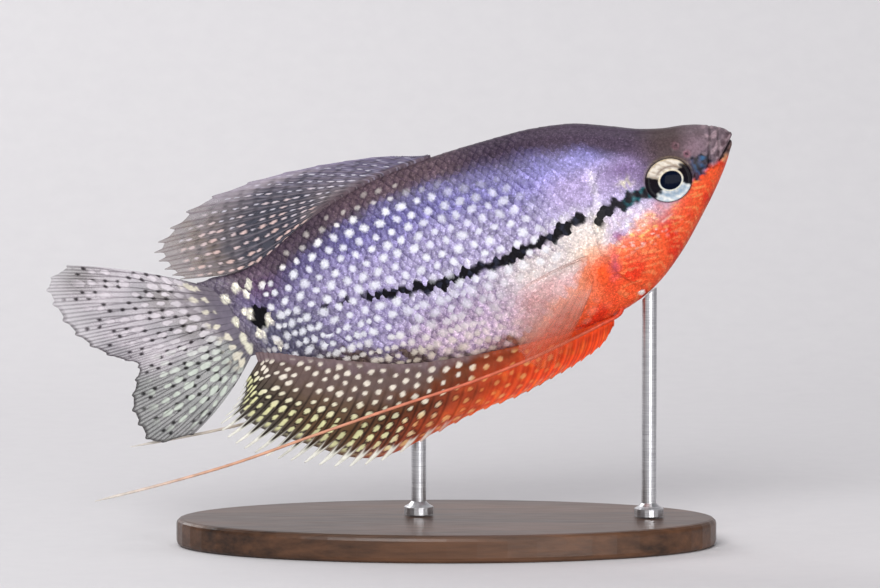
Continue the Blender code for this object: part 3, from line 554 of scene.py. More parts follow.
def coat_colour(x, z, y):
    """Linear colour of skin and scales, without the pearls."""
    ex, ez, spot, patches = masks(x, z)
    height, depth = z - curve(BELLY, x), curve(BACK, x) - z
    uneven, fine = ripple(x, z, 4.5, 1), ripple(x, z, 1.3, 2)
    colour = painted(
        mix(VIOLET, LAVENDER, ease(7.5, -3.5, z + 0.9 * uneven)),
        ((192, 170, 196), ease(-7, -13, z + uneven) * ex(18, 32)),
        ((236, 210, 228), 0.9 * ez(-11, -16.5) * ex(20, 29)),
        ((164, 156, 222), 0.75 * spot(55.5, 5.0, 5.5, 2.6)),
        ((174, 157, 198), 0.85 * ex(50, 57) * ez(6, 2) * ez(-4, 0)),
        ((204, 198, 224), 0.4 * spot(38, 0, 8, 3.5)),
        ((148, 144, 220), 0.6 * spot(53.8, 6.8, 2.6, 1.6)),
        ((134, 127, 156), 0.92 * ease(20, 3, x + 0.3 * z)))
    colour = colour * (1 + 0.22 * np.clip(fine, -0.6, 1) * ease(0, 4, depth))[..., None]
    low = np.interp(x, *zip(*BROWN_EDGE))
    top = np.interp(x, *zip(*DARK_DEPTH))
    under = depth + 0.6 * uneven
    colour = painted(
        colour,
        ((112, 94, 86), ease(low + 2.8, low - 0.6, z + 1.1 * uneven + 0.9 * fine)),
        ((100, 92, 132), 0.8 * ease(top + 6.4, top + 1.0, under) * ex(62, 56)),
        (DARK_BACK, 0.97 * ease(top + 2.2, top - 1.0, under)),
        (mix(rgb(110, 90, 96), rgb(88, 74, 84), ex(24, 14)), 0.8 * ex(46, 36) * ease(4.2, 2.2, depth)),
        ((96, 80, 92), 0.85 * ex(14, 0) * ez(-1, 4)),
        ((100, 102, 116), 0.75 * ex(15, 7) * ease(-2, -6, z + 0.5 * uneven)),
        ((112, 84, 112), 0.75 * spot(4.8, 1.4, 3.0, 2.2)),
        ((122, 114, 126), 0.85 * ease(2.5, -1.5, x + 0.2 * z)),
        (BLACK, 0.99 * ease(1.10, 0.92, spot_distance(x, z) + 0.14 * ripple(x, z, 1.2, 41))))
    torn = 0.25 * ripple(x, z, 0.9, 17)
    for centre in TAIL_PEARLS:
        pearl = ease(1.25, 0.75, oval(x, z, centre, (0.62, 0.86)) + torn)
        colour = painted(colour, ((252, 248, 226), 0.96 * pearl))
    away, share = line_distance(x, z, BAND)
    mauve = spot(66.4, 2.0, 3.4, 2.0) + 0.6 * spot(69.4, -0.6, 2.0, 1.6)
    cream = spot(50.4, -9.0, 8.6, 3.6) + spot(57.0, -6.2, 3.6, 2.6)
    colour = painted(
        colour,
        ((82, 67, 69), ease(65, 71.5, x - 0.5 * z) * ease(-2.6, 0.8, z + 0.8 * uneven)),
        ((126, 108, 118), 0.85 * ex(75.5, 79.5) * ez(-2.8, -1) * (0.8 + 0.2 * fine)),
        ((124, 102, 144), 0.92 * np.clip(mauve, 0, 1)),
        ((150, 122, 136), 0.6 * spot(78.3, 1.7, 2.0, 1.4)),
        ((240, 238, 244), 0.6 * bump(away, 1.4, 0.5) * ease(0.3, 0.42, share) * patches(1.4, 19, -0.5, 0.3)),
        ((234, 222, 216), np.clip(cream * 1.3, 0, 0.97)),
        ((236, 190, 190), 0.9 * np.clip(spot(50.5, -13.4, 5.6, 2.6) * 1.2, 0, 1)),
        ((192, 124, 112), 0.85 * spot(46.0, -17.8, 4.4, 2.8)),
        ((160, 96, 66), 0.85 * ease(2.9, 1.0, height + 0.7 * fine) * ex(33, 41) * ex(52, 46)),
        ((196, 138, 134), 0.7 * spot(46.6, -14.4, 2.6, 2.0)),
        ((196, 78, 44), 0.8 * spot(49.5, -18.4, 2.6, 1.8)),
        ((212, 194, 218), 0.85 * ex(59, 62) * ex(72, 67) * bump(z, -5.6, 1.7)),
        ((206, 150, 168), 0.7 * ex(67.5, 70) * ex(78, 75) * ez(-3.6, -5)),
        ((246, 242, 250), 0.75 * patches(0.8, 51, 0.1, 0.6) * spot(65.0, -5.5, 3.4, 1.5)),
        ((232, 224, 190), 0.8 * patches(0.7, 52, -0.4, 0.3) * spot(66.0, -0.2, 1.1, 0.9)),
        ((232, 222, 242), 0.75 * bump(x, 60.8 + 0.08 * z, 0.6) * ez(-4.0, -2.5) * ez(4.4, 2.6)),
        ((246, 232, 204), 0.7 * spot(60.0, -4.9, 0.9, 1.7)))
    return painted(
        colour, *red_coats(x, z, y, uneven, fine), *dark_coats(x, z), *face_coats(x, z),
        ((250, 244, 236), 0.9 * ease(0.55, 0.3, oval(x, z, (63.0, -18.3), (1, 1)))),
        # Painted shade along the belly's keel, where the anal fin meets it.
        (0.8, ease(1.2, 0.2, np.abs(y)) * ease(0.8, 0.2, height) * (x < 56)))


def pearl_strength(x, z):
    """How brightly the pearl spots show."""
    ex, ez = masks(x, z)[:2]
    depth = curve(BACK, x) - z
    front = ex(34, 44)
    near = ease(3.0 + 1.5 * front, 6.6 - 3.2 * ex(34, 24) + 3.2 * front, depth)
    shows = ease(53.5, 49.0, x + 0.35 * (z + 4)) * (near + (1 - near) * (0.04 + 0.44 * ex(36, 28)))
    shows = shows * (1 - 0.35 * ex(28, 40) * ez(-3, 3)) * (1 - 0.35 * ez(-6.5, -9) * ex(22, 30))
    shows = shows * ease(0.9, 1.8, depth) * (1 - 0.8 * ex(34, 45) * ez(-7.5, -11))
    return shows * ease(0.95, 1.2, spot_distance(x, z)) * ease(3.0, 5.0, x + 0.25 * np.abs(z + 2))


# Skin and scales

def make_skin():
    """The whole skin as one closed mesh: the left half grid and its mirror image share the middle lines."""
    right = SKIN[:, 1:-1, :][:, ::-1, :] * np.array([1, -1, 1])
    ring = np.concatenate([SKIN, right], axis=1)
    columns = ring.shape[1]
    front, tail = ring[-1].mean(0), ring[0].mean(0)
    caps = [front + (ring[-1] - front) * share for share in (0.7, 0.35)]
    ends = [tail + (ring[0] - tail) * share for share in (0.35, 0.7)]
    points = np.concatenate([np.stack(ends), ring, np.stack(caps)])
    rows = len(points)
    points = np.concatenate([points.reshape(-1, 3), [tail, front]])
    k = np.arange(columns)
    after = (k + 1) % columns
    last = (rows - 1) * columns
    tips = np.concatenate([np.stack([after, k, k * 0 + rows * columns], -1),
                           np.stack([k + last, after + last, k * 0 + rows * columns + 1], -1)])
    tips = np.concatenate([tips, tips[:, 2:]], axis=1)
    skin = mesh_object("skin", points, np.concatenate([grid_faces(rows, columns, wrap=True), tips]))
    x, y, z = points.T
    d, which = nearest_pearl(x, z)
    set_colour(skin, painted(coat_colour(x, z, y), (PEARL, ease(0.55, 0.35, d) * PEARLS[which, 5])))
    return skin


def scale_roots():
    """Nominal (x, s) of every scale's root, in staggered rows, its size, and how big its pearl is."""
    rng = np.random.default_rng(11)
    j, i = np.meshgrid(np.arange(-26, 27), np.arange(0, 60), indexing="ij")
    x, s = -5.5 + (i + (j % 2) / 2) * SCALE_PITCH, j * SCALE_ROW
    size = 1.0 - 0.22 * ease(54, 62, x)
    points, _ = on_skin(x, s)
    px, pz = points[..., 0], points[..., 2]
    regular = (j % 2 == 0) & ((i + j // 2) % 2 == 0)
    crowded = np.clip(0.5 * ease(-6.5, -9, pz) * ease(46, 40, px) + 0.42 * ease(17, 8, px), 0, 0.6)
    extra = (j % 2 == 0) & ~regular & (rng.random(x.shape) < crowded)
    chance = rng.random(x.shape)
    by_back = ease(5.5, 2.5, curve(BACK, px) - pz)
    pearl = np.where(extra & (by_back < 0.5), 0.8, 0.0)
    pearl = np.where(regular & (chance < 0.96 - 0.3 * by_back), 1.0, pearl)
    pearl = pearl * rng.uniform(0.76, 1.16, x.shape) * (1 - 0.3 * by_back)
    down, up = arc_lengths(x)
    inside = (s < up - 0.15) & (s > -down + 0.15)
    eye = oval(px, pz, EYE_CENTRE, EYE_SEEN) < 1.32
    face = px > np.interp(pz, [-17, -12, -6, 0, 4, 10], [63, 67, 69, 70.5, 72, 67])
    ahead, shows = gill_share(px, pz)
    gill_edge = (np.abs(ahead + 0.2) < 0.28) & (shows > 0.5)
    return np.stack([x, s, size, pearl], -1)[inside & ~eye & ~face & ~gill_edge]


def pearl_spots(roots):
    """Every pearl's nominal x and s, two half sizes, tilt and brightness, and its place on the left skin."""
    rng = np.random.default_rng(31)
    x, s, _, size = roots[roots[:, 3] > 0].T
    x = x + PEARL_SHIFT + rng.normal(0, 0.10, len(x))
    s = s + rng.normal(0, 0.08, len(x))
    points, _ = on_skin(x, s)
    long, tilt = rng.uniform(0.88, 1.22, len(x)), rng.normal(0.35, 0.4, len(x))
    px, pz = points[:, 0], points[:, 2]
    size = PEARL_RADIUS * size * (1 + 0.28 * ease(-6.5, -9, pz) * ease(22, 30, px))
    banded = np.maximum(*band_mask(px, pz)[:2])
    strength = pearl_strength(px, pz) * ease(0.9, 0.4, banded) * rng.uniform(0.76, 1.0, len(x))
    return np.stack([x, s, size * long, size / long, tilt, strength], -1), points


ROOTS = scale_roots()
PEARLS, PEARL_POINTS = pearl_spots(ROOTS)


def nearest_pearl(x, z):
    best, which = np.full(np.shape(x), 1e9), np.zeros(np.shape(x), int)
    for k, p in enumerate(PEARL_POINTS):
        d = (x - p[0]) ** 2 + (z - p[2]) ** 2
        near = d < best
        best, which = np.where(near, d, best), np.where(near, k, which)
    return np.sqrt(best), which


def make_scales(side, name):
    """One mesh of overlapping scales for one flank: curved shields, each with its free edge at its rear."""
    rng = np.random.default_rng(23)
    root_x, root_s, size, _ = ROOTS.T[:, :, None]
    count = len(ROOTS)
    a, b = np.meshgrid(np.linspace(0, 1, SCALE_ROWS), np.linspace(-1, 1, SCALE_COLUMNS), indexing="ij")
    width = np.where(a < 0.55, 0.9 + 0.1 * a / 0.55, np.sqrt(np.clip(1 - ((a - 0.55) / 0.47) ** 2, 0.0, 1)))
    height = 0.03 + 0.115 * a ** 0.8 + 0.02 * (1 - b * b) - 0.05 * (a > 0.99)
    a, b, height = a.ravel()[None], (b * width).ravel()[None], height.ravel()[None]
    size = size * rng.normal(1, 0.035, (count, 1))
    flat_x, flat_s = (ROOT_SHARE - a) * SCALE_LENGTH * size, b * SCALE_ROW * 1.06 * size
    turn = rng.normal(0, 0.045, (count, 1))
    at_x, at_s = root_x + flat_x - turn * flat_s, root_s + flat_s + turn * flat_x
    points, normals = on_skin(at_x, at_s)
    lift = height * size * rng.normal(1, 0.10, (count, 1)) * (1 - 0.45 * ease(52, 64, at_x))
    points = points + normals * lift[..., None]
    x, y, z = points[..., 0], points[..., 1], points[..., 2]
    middle, _ = on_skin(root_x + PEARL_SHIFT, root_s)
    mid_x, mid_z = middle[..., 0], middle[..., 2]
    alike = 0.55 * ease(-4, 4, x) * ease(66, 60, x) * (np.abs(z - mid_z) < 3)
    colour = coat_colour(x + (mid_x - x) * alike, z + (mid_z - z) * alike, y)
    faces = grid_faces(SCALE_ROWS, SCALE_COLUMNS)[:, ::-side]
    faces = (faces[None] + np.arange(count)[:, None, None] * SCALE_ROWS * SCALE_COLUMNS).reshape(-1, 4)
    obj = mesh_object(name, points.reshape(-1, 3) * np.array([1, side, 1]), faces)
    warmth = 0.8 * ease(-10, -18, z) + 0.5 * ease(8, -2, x) + 0.5 * ease(5, 2, curve(BACK, x) - z)
    set_colour(obj, colour, warmth)
    apart = np.hypot(root_x + PEARL_SHIFT - PEARLS[:, 0], root_s - PEARLS[:, 1])
    order = np.argsort(apart, axis=1)
    for nearest, layer in enumerate(("pearl_place", "pearl_beside")):
        px, ps, long, wide, tilt, strength = PEARLS[order[:, nearest]].T[:, :, None]
        dx, ds = at_x - px, at_s - ps
        along_it, over_it = dx * np.cos(tilt) + ds * np.sin(tilt), ds * np.cos(tilt) - dx * np.sin(tilt)
        set_vector(obj, layer, along_it / long, over_it / wide, strength)
    smoother = np.maximum(ease(51, 58, mid_x), ease(38, 48, mid_x) * ease(-6, -9, mid_z))
    tone = rng.normal(0, 1, (count, 1)) * (1 - 0.6 * smoother)
    set_vector(obj, "scale_place", 0.70 + (a - 0.70) * (1 - 0.8 * smoother), b * (1 - 0.8 * smoother), tone)
    # On the map u runs along the flank and v up it, with half of the map for each flank
    patch = 0.0015          # half size of one scale
    u = (root_x + 8) / 96 + (0.5 - a) * 2 * patch
    v = 0.5 + side * (0.02 + (root_s + 22) / 46 * 0.46) + b * patch * side
    set_uv(obj, "OFBake", *np.broadcast_arrays(u, v))
    return obj


# Fins: a thin closed plate whose rays are ridges of its own surface

def ray_phase(across, rays):
    """For each column, the signed distance to the nearest ray in ray spacings, and that ray's number."""
    place_on = across * (rays - 1)
    ray = np.round(place_on)
    return place_on - ray, ray


def fin_grid(rays, per_ray, rows, down_from, crowd=1.0):
    """across and down for every grid point. crowd above 1 draws the columns in towards the rays."""
    at = np.arange((rays - 1) * per_ray + 1) / per_ray
    off = at - np.round(at)
    across = (np.round(at) + 0.5 * np.sign(off) * np.abs(2 * off) ** crowd) / (rays - 1)
    down = down_from + (1 - down_from) * np.linspace(0, 1, rows) ** 0.9
    down, across = np.meshgrid(down, across, indexing="ij")
    return across, down


def ridge(phase, fork, width):
    """Height share of the ray ridges, 1 on a ray. fork parts each ray into two, by spacings."""
    return np.maximum(bump(phase, -fork, width), bump(phase, fork, width))


def fin_object(name, across, down, points, thickness, colours, alpha):
    """A closed plate round the middle surface, thickness in mm at each point."""
    half = grid_normals(points) * thickness[..., None] / 2
    rows, columns = across.shape
    count = rows * columns
    faces = grid_faces(rows, columns)
    index = np.arange(count).reshape(rows, columns)
    rim = np.concatenate([index[0], index[1:, -1], index[-1, -2::-1], index[-2:0, 0]])
    after = np.roll(rim, -1)
    band = np.stack([after, rim, rim + count, after + count], -1)
    both = np.concatenate([(points + half).reshape(-1, 3), (points - half).reshape(-1, 3)])
    fin = mesh_object(name, both, np.concatenate([faces, faces[:, ::-1] + count, band]))
    set_colour(fin, np.stack([colours, colours]), np.stack([alpha, alpha]))
    return fin


def bowed(root, tip, bow, share, sink=0.0):
    """Points along bent rays. Below the root, where share is negative, they go `sink` mm up or down."""
    chord = tip - root
    left = unit(np.stack([-chord[..., 1], chord[..., 0]], -1))
    out = np.clip(share, 0, None) if sink else share
    points = root + chord * out[..., None] + left * (bow * 4 * out * (1 - out))[..., None]
    if sink:
        points[..., 1] = points[..., 1] + sink * np.clip(share / share.min(), 0, 1)
    return points


def fin_lengths(points):
    """Distance from the root along each column, in mm."""
    steps = np.linalg.norm(np.diff(points, axis=0), axis=-1)
    return np.concatenate([np.zeros((1, points.shape[1])), np.cumsum(steps, axis=0)])


def ray_spacing(across, rays, points):
    """Distance from ray to ray at each point, in mm."""
    return np.linalg.norm(np.gradient(points, axis=1), axis=-1) / np.gradient(across, axis=1) / (rays - 1)


def spots_between(across, rays, points, pitch, long_half, wide_half, seed):
    """Uneven oval spots on the membrane between rays, staggered from one membrane to the next: how strongly
    each spot and the rim round it show, and its own value of 0 to 1. Sizes in mm."""
    length = fin_lengths(points)
    lane_at = across * (rays - 1)
    lane = np.clip(np.floor(lane_at), 0, rays - 2)
    wide = ray_spacing(across, rays, points)
    off = (lane_at - lane - 0.5) * wide
    shift = np.random.default_rng(seed).uniform(-0.2, 0.2, 200) * pitch
    start = (lane % 2) * pitch / 2 + shift[lane.astype(int)]
    number = np.round((length - start) / pitch)
    luck = scatter(number, lane, seed)
    size = 0.66 + 0.52 * luck
    at = start + (number + 0.24 * (scatter(number, lane, seed + 3) - 0.5)) * pitch
    aside = 0.16 * (scatter(number, lane, seed + 7) - 0.5) * wide
    lengthwise = np.abs(length - at) / (long_half * size)
    sideways = np.abs(off - aside) / np.minimum(wide_half * size, 0.50 * wide)
    d = (lengthwise ** 1.6 + sideways ** 1.6) ** 0.625
    d = d + 0.16 * ripple(points[..., 0], points[..., 2], 0.5, seed)
    kept = luck > 0.07
    return ease(1.22, 0.80, d) * kept, ease(2.0, 1.45, d) * ease(0.9, 1.25, d) * kept, luck


def dorsal_point(across, down):
    row = along(DORSAL_ROWS, across)
    root = np.stack([row[..., 0], curve(BACK, row[..., 0]) + 0.35], -1)
    p = bowed(root, row[..., 1:], 3.3 * across ** 3 - 1.3 * across, down, -0.95)
    low = curve(BACK, p[..., 0]) - 0.35 - 0.4 * np.clip(down / down.min(), 0, 1)
    lean = -2.3 * (across * down) ** 2 + 0.5 * np.sin(5 * across) * down * (1 - across)
    follow = np.clip((across - 0.75) / 0.25, 0, 1) ** 1.5 * np.clip(1.5 - down, 0, 1)
    return np.stack([p[..., 0], lean, low + np.clip(p[..., 1] - low, 0, None) * (1 - follow)], -1)


def anal_point(across, down):
    row = along(ANAL_ROWS, across)
    root = np.stack([row[..., 0], curve(BELLY, row[..., 0]) - 0.35], -1)
    p = bowed(root, row[..., 1:], (1.4 + 0.8 * ease(0.4, 0.7, across)) * np.sin(math.pi * across), down, 1.5)
    wave = -0.7 * np.sin(9 * across - 0.4) ** 2 * down ** 2
    return np.stack([p[..., 0], wave, p[..., 1]], -1)


def caudal_point(across, down):
    root = along(TAIL_END[1:-1], across) - np.array([0.4, 0])
    p = bowed(root, along(CAUDAL_TIPS, across), 1.4 * (across - 0.5), down)
    return np.stack([p[..., 0], 2.6 * down ** 2 * (1 - 0.5 * across), p[..., 1]], -1)


def tip_shape(across, rays, down, free_share, sharpness=0.16, blunt=2.2):
    """down with the membrane's edge drawn in between rays, so that ray tips stand past it."""
    phase, _ = ray_phase(across, rays)
    inset = free_share * (1 - np.exp(-(np.abs(phase) / sharpness) ** blunt))
    return down * (1 - inset * ease(0.3, 1.0, down))


def make_dorsal():
    across, down = fin_grid(DORSAL_RAYS, 14, 78, -0.06)
    ea, ed = masks(across, down)[:2]
    points = dorsal_point(across, tip_shape(across, DORSAL_RAYS, down, 0.05))
    length = fin_lengths(points)
    phase, ray = ray_phase(across, DORSAL_RAYS)
    rays = ridge(phase, 0.20 * ed(0.42, 0.62) * ea(0.3, 0.42), 0.055 + 0.02 * (1 - down))
    thick = 0.20 + 0.26 * rays * (1 - 0.4 * down) + 0.7 * bump(down, 0, 0.07)
    x, z = points[..., 0], points[..., 2]
    blot = masks(x, down)[2]
    dark = 1.1 * blot(6.5, 0.42, 9.0, 0.26) + 0.88 * blot(10.5, 0.2, 4.5, 0.14)
    dark = dark + 0.5 * ease(0.2, 0.9, ripple(x * 0.6, z * 1.6, 2.4, 51)) * ed(0.95, 0.5)
    streak = ease(0.25, 0.8, np.sin(length * 1.3 + 9 * phase + 1.7 * ray)) * bump(np.abs(phase), 0.3, 0.1)
    dash = ease(0.35, 0.7, np.sin(length * 2.6 + 2.4 * ray)) * bump(np.abs(phase), 0.16, 0.12)
    spots, rims, luck = spots_between(across, DORSAL_RAYS, points, 1.7, 0.54, 0.26, 52)
    pink = mix(rgb(226, 222, 236), rgb(240, 206, 198), ease(0.45, 1.0, across + 0.4 * (luck - 0.5)))
    shows = ed(0.06, 0.14) * ed(0.98, 0.85) * (0.45 + 0.55 * ea(0.12, 0.4))
    colour = painted(
        mix(rgb(112, 104, 130), rgb(118, 110, 112), ea(0.2, 0.7)),
        ((58, 62, 78), 0.85 * np.clip(dark, 0, 1)),
        ((120, 100, 70), 0.75 * bump(x, -4.2, 4.2) * ease(-0.6, 0.5, ripple(x, z, 2.2, 54))),
        ((196, 184, 188), 0.85 * ed(0.6, 0.92) * bump(across, 0.41, 0.11)),
        ((156, 146, 176), 0.6 * ed(0.72, 0.95) * ea(0.62, 0.3)),
        ((152, 138, 136), 0.7 * ed(0.55, 0.95) * ea(0.45, 0.7)),
        ((98, 80, 88), 0.85 * ed(0.12, 0.02)),
        ((148, 136, 144), 0.45 * rays),
        ((186, 180, 204), 0.5 * streak * ea(0.62, 0.35) * ed(1.0, 0.8)),
        ((30, 28, 42), 0.6 * dash * ed(1.0, 0.75)),
        ((40, 38, 52), 0.6 * rims * shows * ed(0.9, 0.6)),
        (pink, 0.92 * spots * shows))
    clear = 0.42 * ed(0.62, 1.0) * ea(0.25, 0.6) + 0.25 * ea(0.1, 0.0)
    alpha = 0.86 + 0.2 * rays + 0.25 * bump(down, 0, 0.2) - clear * (1 - 0.6 * rays)
    return fin_object("dorsal_fin_skin", across, down, points, thick, colour, alpha)


def make_anal():
    across, down = fin_grid(ANAL_RAYS, 12, 106, -0.06, 1.6)
    ea, ed = masks(across, down)[:2]
    free = 0.05 + 0.20 * ea(0.45, 0.75) + 0.05 * ea(0.25, 0.1)
    points = anal_point(across, tip_shape(across, ANAL_RAYS, down, free, 0.18, 4.5))
    phase, _ = ray_phase(across, ANAL_RAYS)
    rays = ridge(phase, 0, 0.11)
    thick = 0.22 + 0.30 * rays * (1 - 0.5 * down) + 0.9 * bump(down, 0, 0.07)
    x, z = points[..., 0], points[..., 2]
    patchy, fine = ripple(x, z, 3.0, 61), ripple(x, z, 1.2, 63)
    ahead = (x - 13) * 0.41 - (z + 30) * 0.91 + 0.9 * patchy + 0.4 * fine     # mm past the orange part's edge
    eh = masks(ahead, down)[0]
    by_root = down + 0.05 * fine
    body = painted(
        ramp(ahead, ((-7, (108, 86, 70)), (-2.5, (110, 66, 42)), (0, (126, 62, 40)), (2, (152, 66, 40)),
                     (4, (190, 76, 42)), (6, (216, 78, 38)), (9, (255, 84, 38)))),
        ((112, 94, 92), 0.8 * ease(0.42, 0.12, by_root) * eh(-0.5, -4.0)),
        ((74, 72, 66), 0.75 * ease(9, 0, x + 0.4 * (z + 20))),
        ((106, 76, 46), 0.8 * ease(-2, 8, x) * ed(0.3, 0.65) * ea(0.50, 0.68)),
        ((246, 128, 58), 0.45 * ease(0.1, 0.9, fine) * eh(3, 7) * ed(0.0, 0.5)),
        ((130, 110, 116), 0.7 * ease(0.08, -0.02, by_root) * eh(1.0, -3.0)))
    long_half = 0.48 + 0.36 * ed(0.35, 0.75) * ea(0.4, 0.6)
    spots, rims, luck = spots_between(across, ANAL_RAYS, points, 1.9, long_half, 0.50, 62)
    tone = mix(rgb(248, 238, 222), rgb(236, 234, 178), ed(0.2, 0.6) * ea(0.42, 0.56))
    tone = mix(tone, mix(rgb(246, 150, 76), rgb(250, 214, 140), luck), eh(-1.0, 3.5))
    shows = ea(0.14, 0.34) * ed(0.985, 0.9) * ed(-0.02, 0.03) * (1 - 0.5 * eh(0, 4))
    colour = painted(
        body,
        (mix(body * 0.45, rgb(26, 20, 20), ea(0.4, 0.6)), 0.8 * rays * ea(0.22, 0.45) * ed(0.1, 0.45)),
        ((170, 36, 18), 0.6 * bump(np.abs(phase), 0.32, 0.13) * ea(0.45, 0.3) * ed(0.05, 0.3)),
        (body * 1.3, 0.5 * rays * ea(0.45, 0.3)),
        ((22, 18, 18), 0.75 * rims * shows * ed(0.25, 0.5) * ea(0.32, 0.45)),
        (tone, 0.94 * spots * shows),
        ((246, 244, 232), 0.95 * ed(0.80, 0.88) * ea(0.38, 0.5) * ease(0.30, 0.16, np.abs(phase))),
        ((248, 132, 76), 0.6 * ed(0.9, 1.0) * ea(0.5, 0.3)))
    alpha = 0.98 - 0.18 * ed(0.5, 1.0) * (1 - rays)
    return fin_object("anal_fin_skin", across, down, points, thick, colour, alpha)


def make_caudal():
    across, down = fin_grid(CAUDAL_RAYS, 20, 112, -0.10)
    ea, ed = masks(across, down)[:2]
    points = caudal_point(across, tip_shape(across, CAUDAL_RAYS, down, 0.025))
    length = fin_lengths(points)
    phase, ray = ray_phase(across, CAUDAL_RAYS)
    fork, twig = 0.25 * ed(0.20, 0.5), 0.125 * ed(0.5, 0.8)
    rays = np.maximum(ridge(phase, fork - twig, 0.045), ridge(phase, fork + twig, 0.045))
    stem = 2.3 * np.sin(np.pi * (0.06 + 0.88 * across)) ** 0.5
    thick = 0.20 + 0.24 * rays * (1 - 0.5 * down) + stem * np.exp(-(np.clip(down + 0.10, 0, 1) / 0.19) ** 1.5)
    x, z = points[..., 0], points[..., 2]
    spot = masks(x, z)[2]
    cloud = ripple(x, z, 4.0, 71)
    lower_lobe = ea(0.5, 0.68)
    dim = np.clip(spot(-23.5, 12.0, 3.6, 3.6) + spot(-11.5, 4.6, 2.6, 2.6) + spot(-8.4, -1.3, 2.6, 2.6), 0, 1)
    lit = spot(-20.8, 7.6, 3.0, 3.0) + spot(-14.8, -4.4, 2.6, 2.6)
    pitch = 2.1             # from dot to dot along a ray
    start = (ray % 2) * pitch / 2 + 0.4 * np.sin(ray * 2.1)
    number = np.round((length - start) / pitch)
    twig_side = np.where(np.sin(number * 5.3 + ray * 3.1) > 0, 1, -1)
    off = (phase - fork * twig_side) * ray_spacing(across, CAUDAL_RAYS, points)
    dots = ease(1.25, 0.7, np.hypot((length - start - number * pitch) / 0.38, off / 0.31)) * ed(0.97, 0.9)
    dots = dots * (np.sin(number * 3.7 + ray * 2.1) > -0.9) * ed(0.1, 0.2)
    pale = spots_between(across, CAUDAL_RAYS, points, 2.45, 0.95, 0.56, 72)[0]
    pale = pale * ed(0.95, 0.75) * ed(0.05, 0.14) * (1 - 0.7 * rays)
    blob = spots_between(across * 0.5, CAUDAL_RAYS, points, 2.0, 0.85, 0.66, 74)[0]
    root_zone = ease(0.25, 0.05, down + 0.06 * cloud + 0.05 * (1 - rays))
    root_tone = coat_colour(np.maximum(x, TAIL_X), z, points[..., 1] + 5) * 0.9
    rim = ed(0.965, 0.99) * ea(0.12, 0.3)
    colour = painted(
        mix(rgb(204, 192, 202), rgb(140, 132, 142), ease(-0.4, 0.8, cloud)),
        ((140, 146, 138), 0.8 * lower_lobe),
        ((120, 110, 106), 0.9 * dim),
        ((226, 214, 222), 0.85 * lit),
        ((86, 80, 88), (0.9 - 0.4 * lit) * rays),
        ((22, 18, 22), 0.92 * dots),
        (mix(rgb(236, 228, 234), rgb(220, 228, 216), ea(0.4, 0.75)), 0.9 * pale),
        (mix(root_tone, rgb(116, 112, 116), 0.8 * ed(0.02, 0.1)), 0.95 * root_zone),
        ((58, 52, 60), 0.75 * rays * root_zone * ed(-0.04, 0.04)),
        ((248, 240, 220), 0.9 * blob * ed(0.17, 0.08) * ed(0.0, 0.02)),
        ((60, 54, 58), 0.7 * rim))
    alpha = 0.32 + 0.12 * lower_lobe + 0.16 * dim + (0.46 - 0.2 * lit) * rays + 0.46 * pale
    alpha = alpha * (1 - 0.5 * ed(0.7, 1.0) * ea(0.45, 0.3)) + 0.7 * root_zone + 0.7 * dots + 0.3 * rim
    return fin_object("caudal_fin_skin", across, down, points, thick, colour, alpha)


def make_pectoral(side, name):
    top, low = np.array(PECTORAL_ROOT[0]), np.array(PECTORAL_ROOT[1])
    across, down = fin_grid(PECTORAL_RAYS, 12, 56, -0.06)
    ea, ed = masks(across, down)[:2]
    bent = tip_shape(across, PECTORAL_RAYS, down, 0.03)
    root = top + (low - top) * across[..., None]
    p = bowed(root, along(PECTORAL_TIPS, across), 0.9 * (across - 0.4), bent)
    root_y = flank_y(*top) + (flank_y(*low) - flank_y(*top)) * across
    away = np.linalg.norm(p - root, axis=-1) * np.sign(down)
    y = root_y + 0.1 - 0.6 * np.exp(-np.clip(away, 0, 9) / 1.2) + np.where(away > 0, 0.16, 0.6) * away
    y = y + 0.25 * np.sin(7 * across) * bent
    points = np.stack([p[..., 0], side * y, p[..., 1]], -1)
    phase, _ = ray_phase(across, PECTORAL_RAYS)
    rays = ridge(phase, 0.22 * ed(0.4, 0.7), 0.06)
    thick = 0.16 + 0.20 * rays * (1 - 0.5 * down) + 0.7 * np.exp(-(np.clip(down + 0.06, 0, 1) / 0.11) ** 2)
    veil, edge = ea(0.22, 0.68), ea(0.03, 0.0)
    colour = painted(
        mix(rgb(248, 214, 204), rgb(196, 122, 104), 0.8 * rays),
        ((168, 92, 70), 0.9 * veil * ed(0.12, 0.5)),
        ((200, 84, 44), 0.8 * veil * ed(0.5, 0.85)),
        ((250, 124, 72), ed(0.3, 0.05)),
        ((150, 112, 104), 0.8 * edge))
    alpha = 0.03 + 0.34 * veil * ed(0.1, 0.5) * ed(1.1, 0.7) + rays * (0.10 + 0.22 * veil)
    alpha = (alpha + 0.18 * ed(0.18, 0.03)) * (1 - 0.75 * ed(0.5, 0.85) * ea(0.45, 0.7))
    alpha = alpha + 0.10 * ed(0.96, 1.0) * veil + 0.35 * edge * ed(1.0, 0.7)
    return fin_object(name, across, down, points, thick, colour, alpha)


